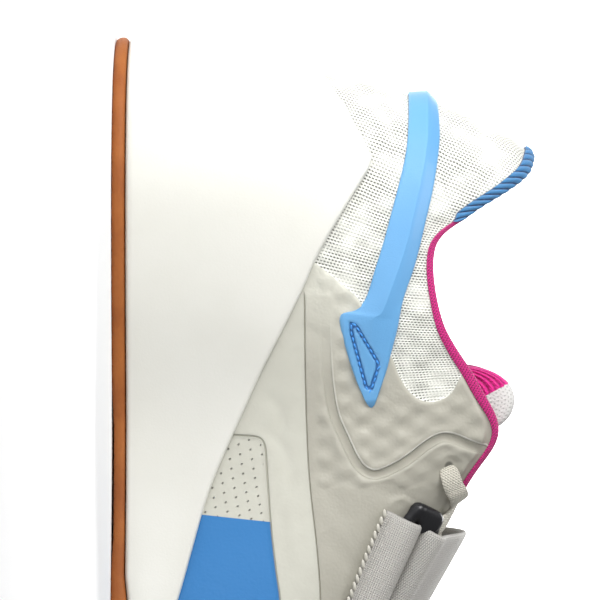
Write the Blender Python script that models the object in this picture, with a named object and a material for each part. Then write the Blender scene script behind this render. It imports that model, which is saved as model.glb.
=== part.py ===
"""Left weightlifting shoe: gum outsole, hard heel clip with the raised heel, hollow upper, strap and trim.

Metres, +Z up, +X to the toe, -Y is the medial side. The origin is on the floor under the middle of the heel.
"""

import math

import bmesh
import bpy
import numpy as np
from mathutils import Vector

# Driving sizes
LENGTH = 0.300
BALL_WIDTH = 0.106
BACK_HEIGHT = 0.1274
HEEL_REST = 0.045
GAP = 0.0003

# Sole sizes
OUTSOLE_THICK = 0.004
WAIST_RELIEF = 0.0012
WAIST_REAR = 0.108
WAIST_FRONT = 0.162
WAIST_RAMP = 0.012
SOLE_BEVEL = 0.0012
TOE_LEAN = 0.002
TOE_SPRING = 0.007
SPRING_START = 0.245
RAND_WIDTH = 0.005
RAND_HEIGHT = 0.013
TOE_BUMPER = 0.024
HEEL_SEAT = 0.025
BALL_SEAT = 0.009
SEAT_REAR = 0.060
SEAT_FRONT = 0.186

# Clip sizes
CLIP_FRONT = 0.190
CLIP_CLIMB = 0.163
CLIP_LIP = 0.0022
CLIP_BULGE = 0.0012
NOSE_FLOOR = 0.0015

# Upper sizes
WALL = 0.0024
INSOLE_THICK = 0.004
INSOLE_FIT = 0.0008
INSOLE_BEVEL = 0.001
TOE_CAP_THICK = 0.0012
CAP_CLEAR = 0.0020
STRIP_THICK = 0.0026
BINDING_THICK = 0.0012
LINING_THICK = 0.0056
LINING_PROUD = 0.0034
EYELET_BORE = 0.0042
EYELET_EDGE = 0.0090
EYELET_ROWS = 5

# Tongue, lace and strap sizes
TONGUE_THICK = 0.0060
TONGUE_PAD_THICK = 0.0115
TONGUE_RISE = 0.0228
TONGUE_FIT = 0.0012
TONGUE_TUCKS = (0.030, 0.020, 0.010)
TONGUE_CROWN = 0.0015
LACE_WIDTH = 0.0065
LACE_THICK = 0.0014
LACE_INSET = 0.0018
LACE_LIFT = 0.0010
LACE_STAGGER = 0.0005
STRAP_WIDTH = 0.038
STRAP_THICK = 0.0026
STRAP_LIFT = 0.0062
STRAP_CROWN = 0.0070
STRAP_REAR_ROW = 9.55
RING_BAR = 0.0034
RING_DEPTH = 0.0100
RING_DROP = 0.0035
RING_CORNER = 0.0022
RING_OVERHANG = 0.17
ANCHOR_MARGIN = 0.0035
ANCHOR_REACH = 0.0066
ANCHOR_LENGTH = 0.0036

# Directions in the side view: the tongue's free end, and the fall of the instep under the laces
TONGUE_LEAN = (-0.73, 0.0, 0.68)
TONGUE_NARROW = 0.26
INSTEP_FALL = (0.86, 0.0, -0.50)

# How finely the surfaces are cut
AROUND = 80
UP_UPPER = 9
UP_CLIP = 6

# One row for each place from the heel round to the toe, the same rows for both sides.
# Columns: x as a share of LENGTH, medial and lateral half widths as shares of BALL_WIDTH.
OUTLINE = (
    (0.000, 0.000, 0.000),
    (0.005, 0.098, 0.098),
    (0.021, 0.190, 0.190),
    (0.048, 0.275, 0.275),
    (0.092, 0.342, 0.345),
    (0.160, 0.377, 0.379),
    (0.265, 0.365, 0.380),
    (0.373, 0.322, 0.376),
    (0.440, 0.330, 0.393),
    (0.510, 0.370, 0.430),
    (0.625, 0.460, 0.503),
    (0.716, 0.485, 0.515),
    (0.800, 0.470, 0.462),
    (0.878, 0.420, 0.380),
    (0.940, 0.335, 0.268),
    (0.984, 0.225, 0.120),
    (1.000, 0.060, -0.060),
)

# The topline: collar from the heel tab to the front corner, then the throat edge down to its front end.
# Columns: x as a share of LENGTH, height as a share of BACK_HEIGHT, medial and lateral half widths as shares
# of BALL_WIDTH.
TOPLINE = (
    (0.119, 1.000, 0.000, 0.000),
    (0.124, 0.999, 0.065, 0.065),
    (0.139, 0.983, 0.132, 0.132),
    (0.157, 0.933, 0.190, 0.190),
    (0.182, 0.845, 0.243, 0.243),
    (0.217, 0.756, 0.285, 0.288),
    (0.290, 0.772, 0.308, 0.318),
    (0.353, 0.858, 0.285, 0.302),
    (0.402, 0.907, 0.252, 0.272),
    (0.450, 0.843, 0.220, 0.240),
    (0.530, 0.722, 0.182, 0.202),
    (0.610, 0.605, 0.158, 0.170),
    (0.655, 0.537, 0.142, 0.146),
    (0.681, 0.500, 0.112, 0.112),
    (0.693, 0.482, 0.076, 0.072),
    (0.699, 0.474, 0.040, 0.032),
    (0.701, 0.471, 0.000, 0.000),
)

# How the wall swells between the feather line and the topline. Columns: how far the low handle stands out as a
# share of BALL_WIDTH, how far it reaches up as a share of the rise, the same two for the high handle, downward.
SWELL = (
    (-0.020, 0.40, 0.110, 0.09),
    (-0.020, 0.40, 0.105, 0.09),
    (-0.018, 0.40, 0.090, 0.10),
    (-0.012, 0.40, 0.070, 0.12),
    (-0.004, 0.40, 0.055, 0.15),
    (0.004, 0.38, 0.045, 0.20),
    (0.018, 0.36, 0.030, 0.26),
    (0.034, 0.36, 0.050, 0.28),
    (0.038, 0.38, 0.085, 0.26),
    (0.040, 0.40, 0.120, 0.24),
    (0.045, 0.42, 0.165, 0.20),
    (0.048, 0.45, 0.205, 0.19),
    (0.050, 0.50, 0.250, 0.18),
    (0.052, 0.56, 0.300, 0.18),
    (0.055, 0.62, 0.345, 0.18),
    (0.056, 0.67, 0.385, 0.19),
    (0.057, 0.71, 0.410, 0.20),
)

# The clip's top edge in the side view: x as a share of LENGTH, height as a share of BACK_HEIGHT.
CLIP_EDGE = (
    (0.000, 0.486),
    (0.039, 0.489),
    (0.081, 0.556),
    (0.109, 0.590),
    (0.128, 0.611),
    (0.146, 0.594),
    (0.219, 0.492),
    (0.304, 0.398),
    (0.389, 0.304),
    (0.474, 0.221),
    (0.569, 0.158),
    (0.640, 0.102),
)

# The heel strip in the side view: x, lower and upper edge, as shares of LENGTH and BACK_HEIGHT.
STRIP = (
    (0.060, 0.704, 0.777),
    (0.118, 0.697, 0.775),
    (0.153, 0.679, 0.762),
    (0.193, 0.653, 0.740),
    (0.236, 0.624, 0.713),
    (0.262, 0.604, 0.693),
    (0.283, 0.540, 0.680),
    (0.313, 0.551, 0.666),
    (0.344, 0.573, 0.644),
    (0.370, 0.598, 0.622),
)

HEEL_ROW = 0.0
TOE_ROW = float(len(OUTLINE) - 1)
LINING_ROW = 4.4
BINDING_FRONT_ROW = 9.2
THROAT_REAR_ROW = 8.3
THROAT_FRONT_ROW = 15.0
TONGUE_FRONT_ROW = 12.8
LACE_REAR_ROW = 8.75
LACE_FRONT_ROW = 12.3
CAP_ROW = 12.4
STEP_ROWS = 0.02
TAPE_START_ROWS = 0.06

# How far below the clip's edge its land on the wall is read, as a share of the wall's height
LIP_LAND = 0.06


def clear_scene():
    for old in list(bpy.data.objects):
        bpy.data.objects.remove(old, do_unlink=True)


def make_material(name, colour, roughness, metallic=0.0):
    material = bpy.data.materials.new(name)
    material.use_nodes = True
    shader = material.node_tree.nodes["Principled BSDF"]
    shader.inputs["Base Color"].default_value = (*colour, 1.0)
    shader.inputs["Roughness"].default_value = roughness
    shader.inputs["Metallic"].default_value = metallic
    return material


def smooth(low, high, value):
    share = min(1.0, max(0.0, (value - low) / (high - low)))
    return share * share * (3.0 - 2.0 * share)


def follow(table, x):
    """Height of a side-view line at x, straight between its rows."""
    xs = [row[0] * LENGTH for row in table]
    zs = [row[1] * BACK_HEIGHT for row in table]
    return float(np.interp(x, xs, zs))


def closed_loop(table, heights):
    """Medial rows from heel to toe, then lateral rows back, with x, y, z in metres."""
    last = len(table) - 1
    loop = []
    for i in range(2 * last):
        row = table[i] if i <= last else table[2 * last - i]
        width = -row[-2] if i <= last else row[-1]
        height = row[1] * BACK_HEIGHT if heights else 0.0
        loop.append((row[0] * LENGTH, width * BALL_WIDTH, height))
    return np.array(loop)


def mirrored(table):
    last = len(table) - 1
    return np.array([table[i] if i <= last else table[2 * last - i] for i in range(2 * last)])


def along(loop, q):
    """A smooth closed curve through the rows of a loop."""
    count = len(loop)
    i = int(math.floor(q))
    f = q - i
    a, b, c, d = (loop[(i + k) % count] for k in (-1, 0, 1, 2))
    return 0.5 * (2 * b + (c - a) * f + (2 * a - 5 * b + 4 * c - d) * f * f + (3 * b - a - 3 * c + d) * f ** 3)


OUTLINE_LOOP = closed_loop(OUTLINE, False)
TOPLINE_LOOP = closed_loop(TOPLINE, True)
SWELL_LOOP = mirrored(SWELL)
TURN = float(len(OUTLINE_LOOP))


def outward(q):
    """The outline's own level direction, pointing away from the shoe."""
    step = 0.02
    run = along(OUTLINE_LOOP, q + step) - along(OUTLINE_LOOP, q - step)
    out = np.array((run[1], -run[0], 0.0))
    return out / np.linalg.norm(out)


def seat(x):
    """Height of the foot bed, from the raised heel down to the ball, with the toe spring."""
    return HEEL_SEAT + (BALL_SEAT - HEEL_SEAT) * smooth(SEAT_REAR, SEAT_FRONT, x) + spring(x)


def spring(x):
    return TOE_SPRING * (max(0.0, x - SPRING_START) / (LENGTH - SPRING_START)) ** 2


def bezier(a, b, c, d, h):
    k = 1.0 - h
    return k ** 3 * a + 3 * k * k * h * b + 3 * k * h * h * c + h ** 3 * d


def wall_curve(q):
    """The four points that carry the wall from the feather line to the topline."""
    foot = on_seat(q, RAND_WIDTH + GAP, GAP)
    top = along(TOPLINE_LOOP, q)
    rise = top[2] - foot[2]
    low_out, low_up, high_out, high_down = along(SWELL_LOOP, q)
    low = foot + outward(q) * low_out * BALL_WIDTH
    low[2] += low_up * rise
    high = top + outward(q) * high_out * BALL_WIDTH
    high[2] -= high_down * rise
    return foot, low, high, top


def wall_point(q, h, out=0.0):
    """A point on the upper: q goes round the shoe, h from the feather line to the topline, out along the normal."""
    point = bezier(*wall_curve(q), h)
    if out == 0.0:
        return point
    step = 0.01
    h0 = max(0.0, h - step)
    h1 = min(1.0, h + step)
    up = bezier(*wall_curve(q), h1) - bezier(*wall_curve(q), h0)
    side = bezier(*wall_curve(q + step), h) - bezier(*wall_curve(q - step), h)
    normal = np.cross(side, up)
    return point + normal / np.linalg.norm(normal) * out


def find_height(q, edge):
    """Where the wall at q crosses a side-view line."""
    low, high = 0.02, 0.98
    for _ in range(30):
        middle = 0.5 * (low + high)
        point = wall_point(q, middle)
        if point[2] < edge(point[0]):
            low = middle
        else:
            high = middle
    return low


def add_piece(name, material, verts, faces, sharp=40.0):
    """A closed mesh from points and faces, moved so that the origin is under the heel."""
    mesh = bpy.data.meshes.new(name)
    mesh.from_pydata([(v[0] - HEEL_REST, v[1], v[2]) for v in verts], [], faces)
    work = bmesh.new()
    work.from_mesh(mesh)
    bmesh.ops.remove_doubles(work, verts=work.verts, dist=1e-6)
    bmesh.ops.triangulate(work, faces=work.faces)
    bmesh.ops.recalc_face_normals(work, faces=work.faces)
    work.to_mesh(mesh)
    work.free()
    mesh.materials.append(material)
    mesh.shade_smooth()
    mesh.set_sharp_from_angle(angle=math.radians(sharp))
    piece = bpy.data.objects.new(name, mesh)
    bpy.context.collection.objects.link(piece)
    return piece


def ring_tube(rings, closed):
    """Faces that join rings of equal length, each ring closed; the ends are capped unless the row of rings closes."""
    size = len(rings[0])
    verts = [point for ring in rings for point in ring]
    faces = []
    spans = len(rings) if closed else len(rings) - 1
    for i in range(spans):
        j = (i + 1) % len(rings)
        for k in range(size):
            n = (k + 1) % size
            faces.append((i * size + k, i * size + n, j * size + n, j * size + k))
    if not closed:
        faces.append(tuple(range(size)))
        faces.append(tuple((len(rings) - 1) * size + k for k in reversed(range(size))))
    return verts, faces


def ladder(medial, lateral):
    """Faces that fill between two rows of points, rung by rung."""
    faces = []
    for i in range(len(medial) - 1):
        faces.append((medial[i], medial[i + 1], lateral[i + 1], lateral[i]))
    return faces


def tray(name, material, rows, profile):
    """A solid of two sides that meet at the heel and the toe or stop at a front face.

    profile(q) gives the points of one side from the inside of its underside, round the outside, to the edge of
    its floor. The floor and the underside are filled rung by rung.
    """
    verts = []
    sides = ([], [])
    for side in (0, 1):
        for row in rows:
            q = row if side == 0 else TURN - row
            points = profile(q, row)
            start = len(verts)
            verts.extend(points)
            sides[side].append(list(range(start, start + len(points))))
    faces = []
    for side in sides:
        for a, b in zip(side[:-1], side[1:]):
            for k in range(len(a) - 1):
                faces.append((a[k], b[k], b[k + 1], a[k + 1]))
    for k in (0, -1):
        faces += ladder([s[k] for s in sides[0]], [s[k] for s in sides[1]])
    for end in (0, -1):
        faces.append(tuple(sides[0][end]) + tuple(reversed(sides[1][end])))
    return add_piece(name, material, verts, [f for f in faces if len(f) > 2])


def row_at(x):
    """The row from heel to toe where the outline reaches x."""
    low, high = HEEL_ROW, TOE_ROW
    for _ in range(40):
        middle = 0.5 * (low + high)
        if along(OUTLINE_LOOP, middle)[0] < x:
            low = middle
        else:
            high = middle
    return low


def inset(q, depth, z):
    point = along(OUTLINE_LOOP, q) - outward(q) * depth
    point[2] = z
    return point


def on_seat(q, depth, above):
    """A point inside the outline at a height above the foot bed."""
    point = inset(q, depth, 0.0)
    point[2] = seat(point[0]) + above
    return point


def clip_foot(x):
    """Height of the clip's lower edge, flat under the heel and climbing at the front."""
    flat = OUTSOLE_THICK + GAP
    climb = max(0.0, x - CLIP_CLIMB) / (CLIP_FRONT - CLIP_CLIMB)
    return flat + (BALL_SEAT - NOSE_FLOOR - flat) * min(1.0, climb)


def underside(x):
    relief = WAIST_RELIEF * smooth(WAIST_REAR, WAIST_REAR + WAIST_RAMP, x)
    relief *= 1.0 - smooth(WAIST_FRONT - WAIST_RAMP, WAIST_FRONT, x)
    return relief + spring(x)


def make_outsole(material):
    front = row_at(CLIP_FRONT) + STEP_ROWS
    behind = rings_between(HEEL_ROW, front - 2 * STEP_ROWS) + [front]
    ahead = [front + 0.5 * STEP_ROWS] + rings_between(front + 2 * STEP_ROWS, TOE_ROW)

    def profile(q, row):
        x = along(OUTLINE_LOOP, q)[0]
        low = underside(x)
        toe = smooth(SPRING_START, LENGTH, x)
        if row <= front:
            rand = clip_foot(x) - GAP
            bed = inset(q, RAND_WIDTH, OUTSOLE_THICK)
        else:
            rand = rand_height(x)
            bed = on_seat(q, RAND_WIDTH, 0.0)
        bevel = min(SOLE_BEVEL, 0.3 * (rand - low))
        lean = TOE_LEAN * toe
        return [
            inset(q, bevel * 1.2, low),
            inset(q, 0.0, low + bevel),
            inset(q, lean * 0.4, 0.5 * (low + rand)),
            inset(q, lean + bevel * 0.4, rand - bevel * 0.5),
            inset(q, lean + bevel * 1.2, rand),
            wall_rand(q, rand, row > front),
            bed,
        ]

    tray("outsole", material, behind + ahead, profile)


def rand_height(x):
    return RAND_HEIGHT + (TOE_BUMPER - RAND_HEIGHT) * smooth(SPRING_START, LENGTH, x)


def wall_rand(q, z, ahead):
    """The rand's inner top edge, which follows the upper where the upper stands in the outsole."""
    if not ahead:
        return inset(q, RAND_WIDTH, z)
    h = find_height(q, lambda x: z)
    point = wall_point(q, h, GAP)
    point[2] = z
    return point


def make_clip(material):
    front = row_at(CLIP_FRONT)
    floor = OUTSOLE_THICK + GAP
    rows = rings_between(HEEL_ROW, front - STEP_ROWS) + [front]

    def profile(q, row):
        x = along(OUTLINE_LOOP, q)[0]
        low = clip_foot(x)
        h_top = find_height(q, lambda side: follow(CLIP_EDGE, side))
        lip = wall_point(q, h_top, GAP + CLIP_LIP)
        below = wall_point(q, h_top - LIP_LAND, GAP + CLIP_LIP)
        foot = inset(q, 0.0, low)
        reach = lip[2] - low
        lower = foot + outward(q) * CLIP_BULGE
        lower[2] += 0.35 * reach
        upper = lip - (lip - below) / np.linalg.norm(lip - below) * 0.3 * reach
        points = [inset(q, RAND_WIDTH + GAP, floor), inset(q, RAND_WIDTH + GAP, low)]
        points += [bezier(foot, lower, upper, lip, k / UP_CLIP) for k in range(UP_CLIP + 1)]
        points += [wall_point(q, h_top * k / UP_CLIP, GAP) for k in range(UP_CLIP, -1, -1)]
        points.append(on_seat(q, RAND_WIDTH + GAP, 0.0))
        return points

    tray("heel_clip", material, rows, profile)


def rings_between(low, high):
    """The upper's own rings between two rows, so that what lies on it follows its facets."""
    step = TURN / AROUND
    first = math.ceil(low / step - 1e-6)
    last = math.floor(high / step + 1e-6)
    return [step * i for i in range(first, last + 1)]


def make_upper(material):
    rings = []
    for i in range(AROUND):
        q = TURN * i / AROUND
        outer = [wall_point(q, k / UP_UPPER) for k in range(UP_UPPER + 1)]
        inner = [wall_point(q, k / UP_UPPER, -WALL) for k in range(UP_UPPER, -1, -1)]
        inner[-1][2] = outer[0][2]
        rings.append(outer + inner)
    verts, faces = ring_tube(rings, True)
    upper = add_piece("upper", material, verts, faces)
    cut_eyelets(upper)


def eyelet_rows():
    return np.linspace(LACE_REAR_ROW, LACE_FRONT_ROW, EYELET_ROWS)


def edge_share(q, distance):
    """How far down the wall, in h, a length from the topline comes."""
    foot, low, high, top = wall_curve(q)
    return 1.0 - distance / (3.0 * np.linalg.norm(top - high)) * 1.05


def cut_eyelets(upper):
    drill = bmesh.new()
    for row in eyelet_rows():
        for q in (row, TURN - row):
            h = edge_share(q, EYELET_EDGE)
            outer = Vector(wall_point(q, h, WALL))
            inner = Vector(wall_point(q, h, -2.0 * WALL))
            axis = outer - inner
            turn = axis.to_track_quat("Z", "Y").to_matrix().to_4x4()
            turn.translation = (outer + inner) / 2 - Vector((HEEL_REST, 0.0, 0.0))
            bmesh.ops.create_cone(
                drill, cap_ends=True, segments=8, radius1=EYELET_BORE / 2, radius2=EYELET_BORE / 2,
                depth=axis.length, matrix=turn)
    mesh = bpy.data.meshes.new("eyelet_drill")
    drill.to_mesh(mesh)
    drill.free()
    cutter = bpy.data.objects.new("eyelet_drill", mesh)
    cutter.hide_render = True
    cutter.display_type = "WIRE"
    bpy.context.collection.objects.link(cutter)
    cut = upper.modifiers.new("eyelets", "BOOLEAN")
    cut.operation = "DIFFERENCE"
    cut.object = cutter


def make_insole(material):
    depth = RAND_WIDTH + GAP + WALL + INSOLE_FIT
    front = row_at(CLIP_FRONT)
    rows = sorted(rings_between(HEEL_ROW, TOE_ROW) + [front])

    def profile(q, row):
        return [on_seat(q, depth + INSOLE_BEVEL, GAP), on_seat(q, depth, GAP + INSOLE_BEVEL),
                on_seat(q, depth, GAP + INSOLE_THICK)]

    tray("insole", material, rows, profile)


def slab(name, material, grid, thick, sharp=40.0):
    """A closed sheet: a grid of points, and the same grid moved down along each point's normal.

    thick is one length, or a length for each row.
    """
    rows = len(grid)
    depths = np.broadcast_to(thick, rows)
    columns = len(grid[0])
    top = np.array(grid)
    normals = np.zeros_like(top)
    for i in range(rows):
        for j in range(columns):
            run = top[min(i + 1, rows - 1)][j] - top[max(i - 1, 0)][j]
            side = top[i][min(j + 1, columns - 1)] - top[i][max(j - 1, 0)]
            normal = np.cross(run, side)
            normals[i][j] = normal / np.linalg.norm(normal)
    bottom = top - normals * depths[:, None, None]
    rings = []
    for i in range(rows):
        rings.append(list(top[i]) + list(bottom[i][::-1]))
    verts, faces = ring_tube(rings, False)
    return add_piece(name, material, verts, faces, sharp)


def tongue_section(row):
    """One line across the tongue, tucked under both throat edges, with a crown between them."""
    out = -(WALL + TONGUE_FIT)
    medial = [wall_point(row, edge_share(row, tuck), out) for tuck in TONGUE_TUCKS]
    lateral = [wall_point(TURN - row, edge_share(TURN - row, tuck), out) for tuck in TONGUE_TUCKS]
    middle = 0.5 * (medial[-1] + lateral[-1])
    middle[2] += TONGUE_CROWN
    near = 0.55 * medial[-1] + 0.45 * middle
    near[2] += 0.25 * TONGUE_CROWN
    far = 0.55 * lateral[-1] + 0.45 * middle
    far[2] += 0.25 * TONGUE_CROWN
    return medial + [near, middle, far] + lateral[::-1]


def make_tongue(material):
    grid = [tongue_section(row) for row in np.linspace(TONGUE_FRONT_ROW, THROAT_REAR_ROW, 11)]
    last = np.array(grid[-1])
    centre = last[4]
    depths = [TONGUE_THICK] * len(grid)
    for step, swell in ((0.35, 0.35), (0.65, 0.80), (0.90, 1.0), (1.0, 0.85)):
        depths.append(TONGUE_THICK + (TONGUE_PAD_THICK - TONGUE_THICK) * swell)
        row = last + np.array(TONGUE_LEAN) * TONGUE_RISE * step
        narrow = 1.0 - TONGUE_NARROW * math.sqrt(step)
        row[:, 1] = centre[1] + (row[:, 1] - centre[1]) * narrow
        row[:, 2] += 0.25 * (centre[2] - last[:, 2]) * step
        grid.append(row)
    slab("tongue", material, [row[::-1] for row in grid], depths)


def make_toe_cap(material):
    grid = []
    for q in rings_between(CAP_ROW, TURN - CAP_ROW):
        reach = 0.50 - 0.16 * abs(q - TOE_ROW) / (TOE_ROW - CAP_ROW)
        low = find_height(q, lambda x: rand_height(x) + CAP_CLEAR)
        row = [wall_point(q, low + (reach - low) * k / 5, GAP + TOE_CAP_THICK) for k in range(6)]
        grid.append(row)
    slab("toe_cap", material, grid, TOE_CAP_THICK)


def strip_line(x, column):
    xs = [row[0] * LENGTH for row in STRIP]
    zs = [row[column] * BACK_HEIGHT for row in STRIP]
    return float(np.interp(x, xs, zs))


def make_strip(material):
    """The moulded strip: a ridge of two facets that wraps round the heel."""
    step = TURN / AROUND / 2
    tip = STRIP[-1][0] * LENGTH
    count = 0
    while wall_point(count * step, find_height(count * step, lambda x: strip_line(x, 1)))[0] < tip:
        count += 1
    rings = []
    for i in range(1 - count, count):
        q = i * step
        low = find_height(q, lambda x: strip_line(x, 1))
        high = find_height(q, lambda x: strip_line(x, 2))
        ring = []
        for share, out in ((0.0, 0.0), (0.0, 0.5), (0.55, 1.0), (1.0, 0.6), (1.0, 0.0), (0.5, 0.0)):
            ring.append(wall_point(q, low + (high - low) * share, GAP + out * STRIP_THICK))
        rings.append(ring)
    verts, faces = ring_tube(rings, False)
    add_piece("heel_strip", material, verts, faces, 25.0)


def edge_frame(q):
    """At the topline: the point, the way up out of the wall, and the wall's outward normal."""
    point = wall_point(q, 1.0)
    up = point - wall_point(q, 0.985)
    up = up / np.linalg.norm(up)
    normal = wall_point(q, 1.0, 1.0) - point
    return point, up, normal / np.linalg.norm(normal)


def edge_sweep(name, material, rows, section, sharp=40.0):
    """A bar along the topline; section gives (out, up) pairs, out from the wall's outer face."""
    rings = []
    for i, q in enumerate(rows):
        point, up, normal = edge_frame(q)
        share = i / (len(rows) - 1)
        rings.append([point + normal * a + up * b for a, b in section(share)])
    verts, faces = ring_tube(rings, False)
    add_piece(name, material, verts, faces, sharp)


def make_bindings(material):
    high = GAP + BINDING_THICK

    def section(share):
        return ((0.0, GAP), (-WALL, GAP), (-WALL, 0.7 * high), (-0.5 * WALL, high), (0.0, 0.7 * high))

    rows = [LINING_ROW + TAPE_START_ROWS] + rings_between(LINING_ROW + 2 * TAPE_START_ROWS, BINDING_FRONT_ROW)
    edge_sweep("collar_binding_medial", material, rows, section)
    edge_sweep("collar_binding_lateral", material, [TURN - q for q in rows], section)


def make_lining(material):
    def section(share):
        ends = math.sin(math.pi * (0.04 + 0.92 * share)) ** 0.35
        proud = GAP + LINING_PROUD * ends
        return ((0.0, GAP), (-WALL, GAP), (-WALL - GAP, GAP), (-LINING_THICK, 0.5 * proud),
                (-0.7 * LINING_THICK, proud), (-0.25 * LINING_THICK, proud), (0.0, 0.55 * proud))

    rows = rings_between(-LINING_ROW, LINING_ROW)
    edge_sweep("heel_lining", material, rows, section)


def strap_rows():
    """The strap's rear and front places in rows, at the throat edge."""
    low, high = STRAP_REAR_ROW, THROAT_FRONT_ROW
    start = along(TOPLINE_LOOP, STRAP_REAR_ROW)
    for _ in range(40):
        middle = 0.5 * (low + high)
        if np.linalg.norm(along(TOPLINE_LOOP, middle) - start) < STRAP_WIDTH:
            low = middle
        else:
            high = middle
    return STRAP_REAR_ROW, low


def make_strap_parts(strap_material, ring_material):
    rear, front = strap_rows()
    across = np.linspace(rear, front, 5)
    lift = GAP + STRAP_LIFT

    def crown(q_row, share):
        a = wall_point(q_row, 1.0, lift)
        b = wall_point(TURN - q_row, 1.0, lift)
        point = a + (b - a) * share
        point[2] += STRAP_CROWN * math.sin(math.pi * share)
        return point

    grid = []
    for h in (0.18, 0.30, 0.45, 0.60, 0.74, 0.86, 0.95):
        fade = smooth(0.3, 0.9, h)
        out = GAP + STRAP_THICK + (STRAP_LIFT - STRAP_THICK) * fade
        grid.append([wall_point(TURN - q, h, out) for q in across])
    for share in (0.97, 0.8, 0.6, 0.4, 0.2):
        grid.append([crown(q, share) for q in across])
    near, far = upper_bar(rear, front)
    places = [(q, edge_share(q, RING_DROP)) for q in across]
    grid += wrap_rows(places, near, far, (60, 30, 0, -30, -60, -90))
    slab("strap", strap_material, grid, STRAP_THICK)

    lift = GAP + STRAP_LIFT / 2
    lower = [wall_point(*below_bar(near, far, share, RING_DEPTH), lift) for share in (1.0, 0.0)]
    make_ring(ring_material, [near, far] + lower)
    make_anchor(strap_material, near, far, lower)


def upper_bar(rear, front):
    """The ends of the ring's upper bar, along the throat edge on the medial wall."""
    ends = []
    for q in (rear - RING_OVERHANG, front + RING_OVERHANG):
        ends.append(wall_point(q, edge_share(q, RING_DROP), GAP + STRAP_LIFT / 2))
    return ends


def settle(target, q, h):
    """The place on the wall, as row and share, that lies nearest to a point."""
    step = 0.004
    for _ in range(8):
        here = wall_point(q, h)
        run = (wall_point(q + step, h) - here) / step
        rise = (here - wall_point(q, h - step)) / step
        move = np.linalg.lstsq(np.stack((run, rise), axis=1), target - here, rcond=None)[0]
        q += move[0]
        h += move[1]
    return q, h


def below_bar(near, far, share, depth):
    """The place on the wall square below the upper bar, share along it and depth down."""
    q, h = settle(near + (far - near) * share, STRAP_REAR_ROW + share, 0.95)
    normal = wall_point(q, h, 1.0) - wall_point(q, h)
    down = np.cross(far - near, normal)
    down = down / np.linalg.norm(down) * depth
    if down[2] > 0.0:
        down = -down
    return settle(wall_point(q, h) + down, q, h)


def wrap_rows(places, near, far, angles):
    """Rows of webbing's outer face round a long bar, from above it over the outside.

    places holds a row and a share of the wall for each column of the webbing.
    """
    radius = RING_BAR / 2 + GAP + STRAP_THICK
    run = (far - near) / np.linalg.norm(far - near)
    frames = []
    for q, h in places:
        foot = wall_point(q, h)
        normal = wall_point(q, h, 1.0) - foot
        normal = normal - run * np.dot(normal, run)
        normal = normal / np.linalg.norm(normal)
        up = np.cross(run, normal)
        if up[2] < 0.0:
            up = -up
        frames.append((near + run * np.dot(foot - near, run), normal, up))
    rows = []
    for angle in angles:
        turn = math.radians(angle)
        rows.append([c + (n * math.cos(turn) + u * math.sin(turn)) * radius for c, n, u in frames])
    return rows


def make_ring(material, spine):
    corners = [Vector(p) for p in spine]
    curve = bpy.data.curves.new("strap_ring", "CURVE")
    curve.dimensions = "3D"
    curve.bevel_depth = RING_BAR / 2
    curve.bevel_resolution = 1
    spline = curve.splines.new("POLY")
    path = []
    for i, corner in enumerate(corners):
        before = corners[i - 1]
        after = corners[(i + 1) % 4]
        a = corner + (before - corner).normalized() * RING_CORNER
        b = corner + (after - corner).normalized() * RING_CORNER
        for t in (0.0, 0.5, 1.0):
            path.append(a * (1 - t) ** 2 + corner * 2 * t * (1 - t) + b * t * t)
        if i in (0, 2):
            middle = (corner + after) / 2
            path.append(middle)
    spline.points.add(len(path) - 1)
    for point, place in zip(spline.points, path):
        point.co = (place.x - HEEL_REST, place.y, place.z, 1.0)
    spline.use_cyclic_u = True
    ring = bpy.data.objects.new("strap_ring", curve)
    curve.materials.append(material)
    bpy.context.collection.objects.link(ring)


def make_anchor(material, near, far, lower):
    """The webbing that holds the ring: a loop over its lower bar, and a sewn flap below it."""
    margin = ANCHOR_MARGIN / np.linalg.norm(far - near)
    shares = np.linspace(margin, 1.0 - margin, 5)
    places = [below_bar(near, far, share, RING_DEPTH) for share in shares]
    grid = wrap_rows(places, lower[1], lower[0], (90, 60, 30, 0, -30))
    for reach in (ANCHOR_REACH, ANCHOR_REACH + ANCHOR_LENGTH):
        flap = [below_bar(near, far, share, RING_DEPTH + reach) for share in shares]
        grid.append([wall_point(q, h, GAP + STRAP_THICK) for q, h in flap])
    slab("strap_anchor", material, grid, STRAP_THICK)


def make_laces(material):
    """Flat laces that cross over the tongue, joined where they cross."""
    bars = []
    rows = eyelet_rows()
    for a, b in zip(rows[:-1], rows[1:]):
        bars.append((a, TURN - b, LACE_LIFT))
        bars.append((b, TURN - a, LACE_LIFT + LACE_STAGGER))
    bars.append((rows[-1], TURN - rows[-1], LACE_LIFT + 0.5 * LACE_STAGGER))
    pieces = []
    for start, end, height in bars:
        p = Vector(wall_point(start, 1.0, 0.0))
        s = Vector(wall_point(end, 1.0, 0.0))
        inward = (s - p).normalized()
        p += inward * LACE_INSET
        s -= inward * LACE_INSET
        side = inward.cross(Vector(INSTEP_FALL)).cross(inward).normalized() * LACE_WIDTH / 2
        up = side.cross(inward).normalized()
        if up.z < 0:
            up = -up
        lift = up * height
        points = []
        for end_point in (p + lift, s + lift):
            points += [end_point - side, end_point + side, end_point + side + up * LACE_THICK,
                       end_point - side + up * LACE_THICK]
        faces = [(0, 1, 2, 3), (4, 7, 6, 5), (0, 4, 5, 1), (1, 5, 6, 2), (2, 6, 7, 3), (3, 7, 4, 0)]
        pieces.append(add_piece("lace_bar", material, [tuple(v) for v in points], faces))
    laces = pieces[0]
    laces.name = "laces"
    for bar in pieces[1:]:
        join = laces.modifiers.new("join", "BOOLEAN")
        join.operation = "UNION"
        join.object = bar
        bar.hide_render = True
        bar.display_type = "WIRE"


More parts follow.
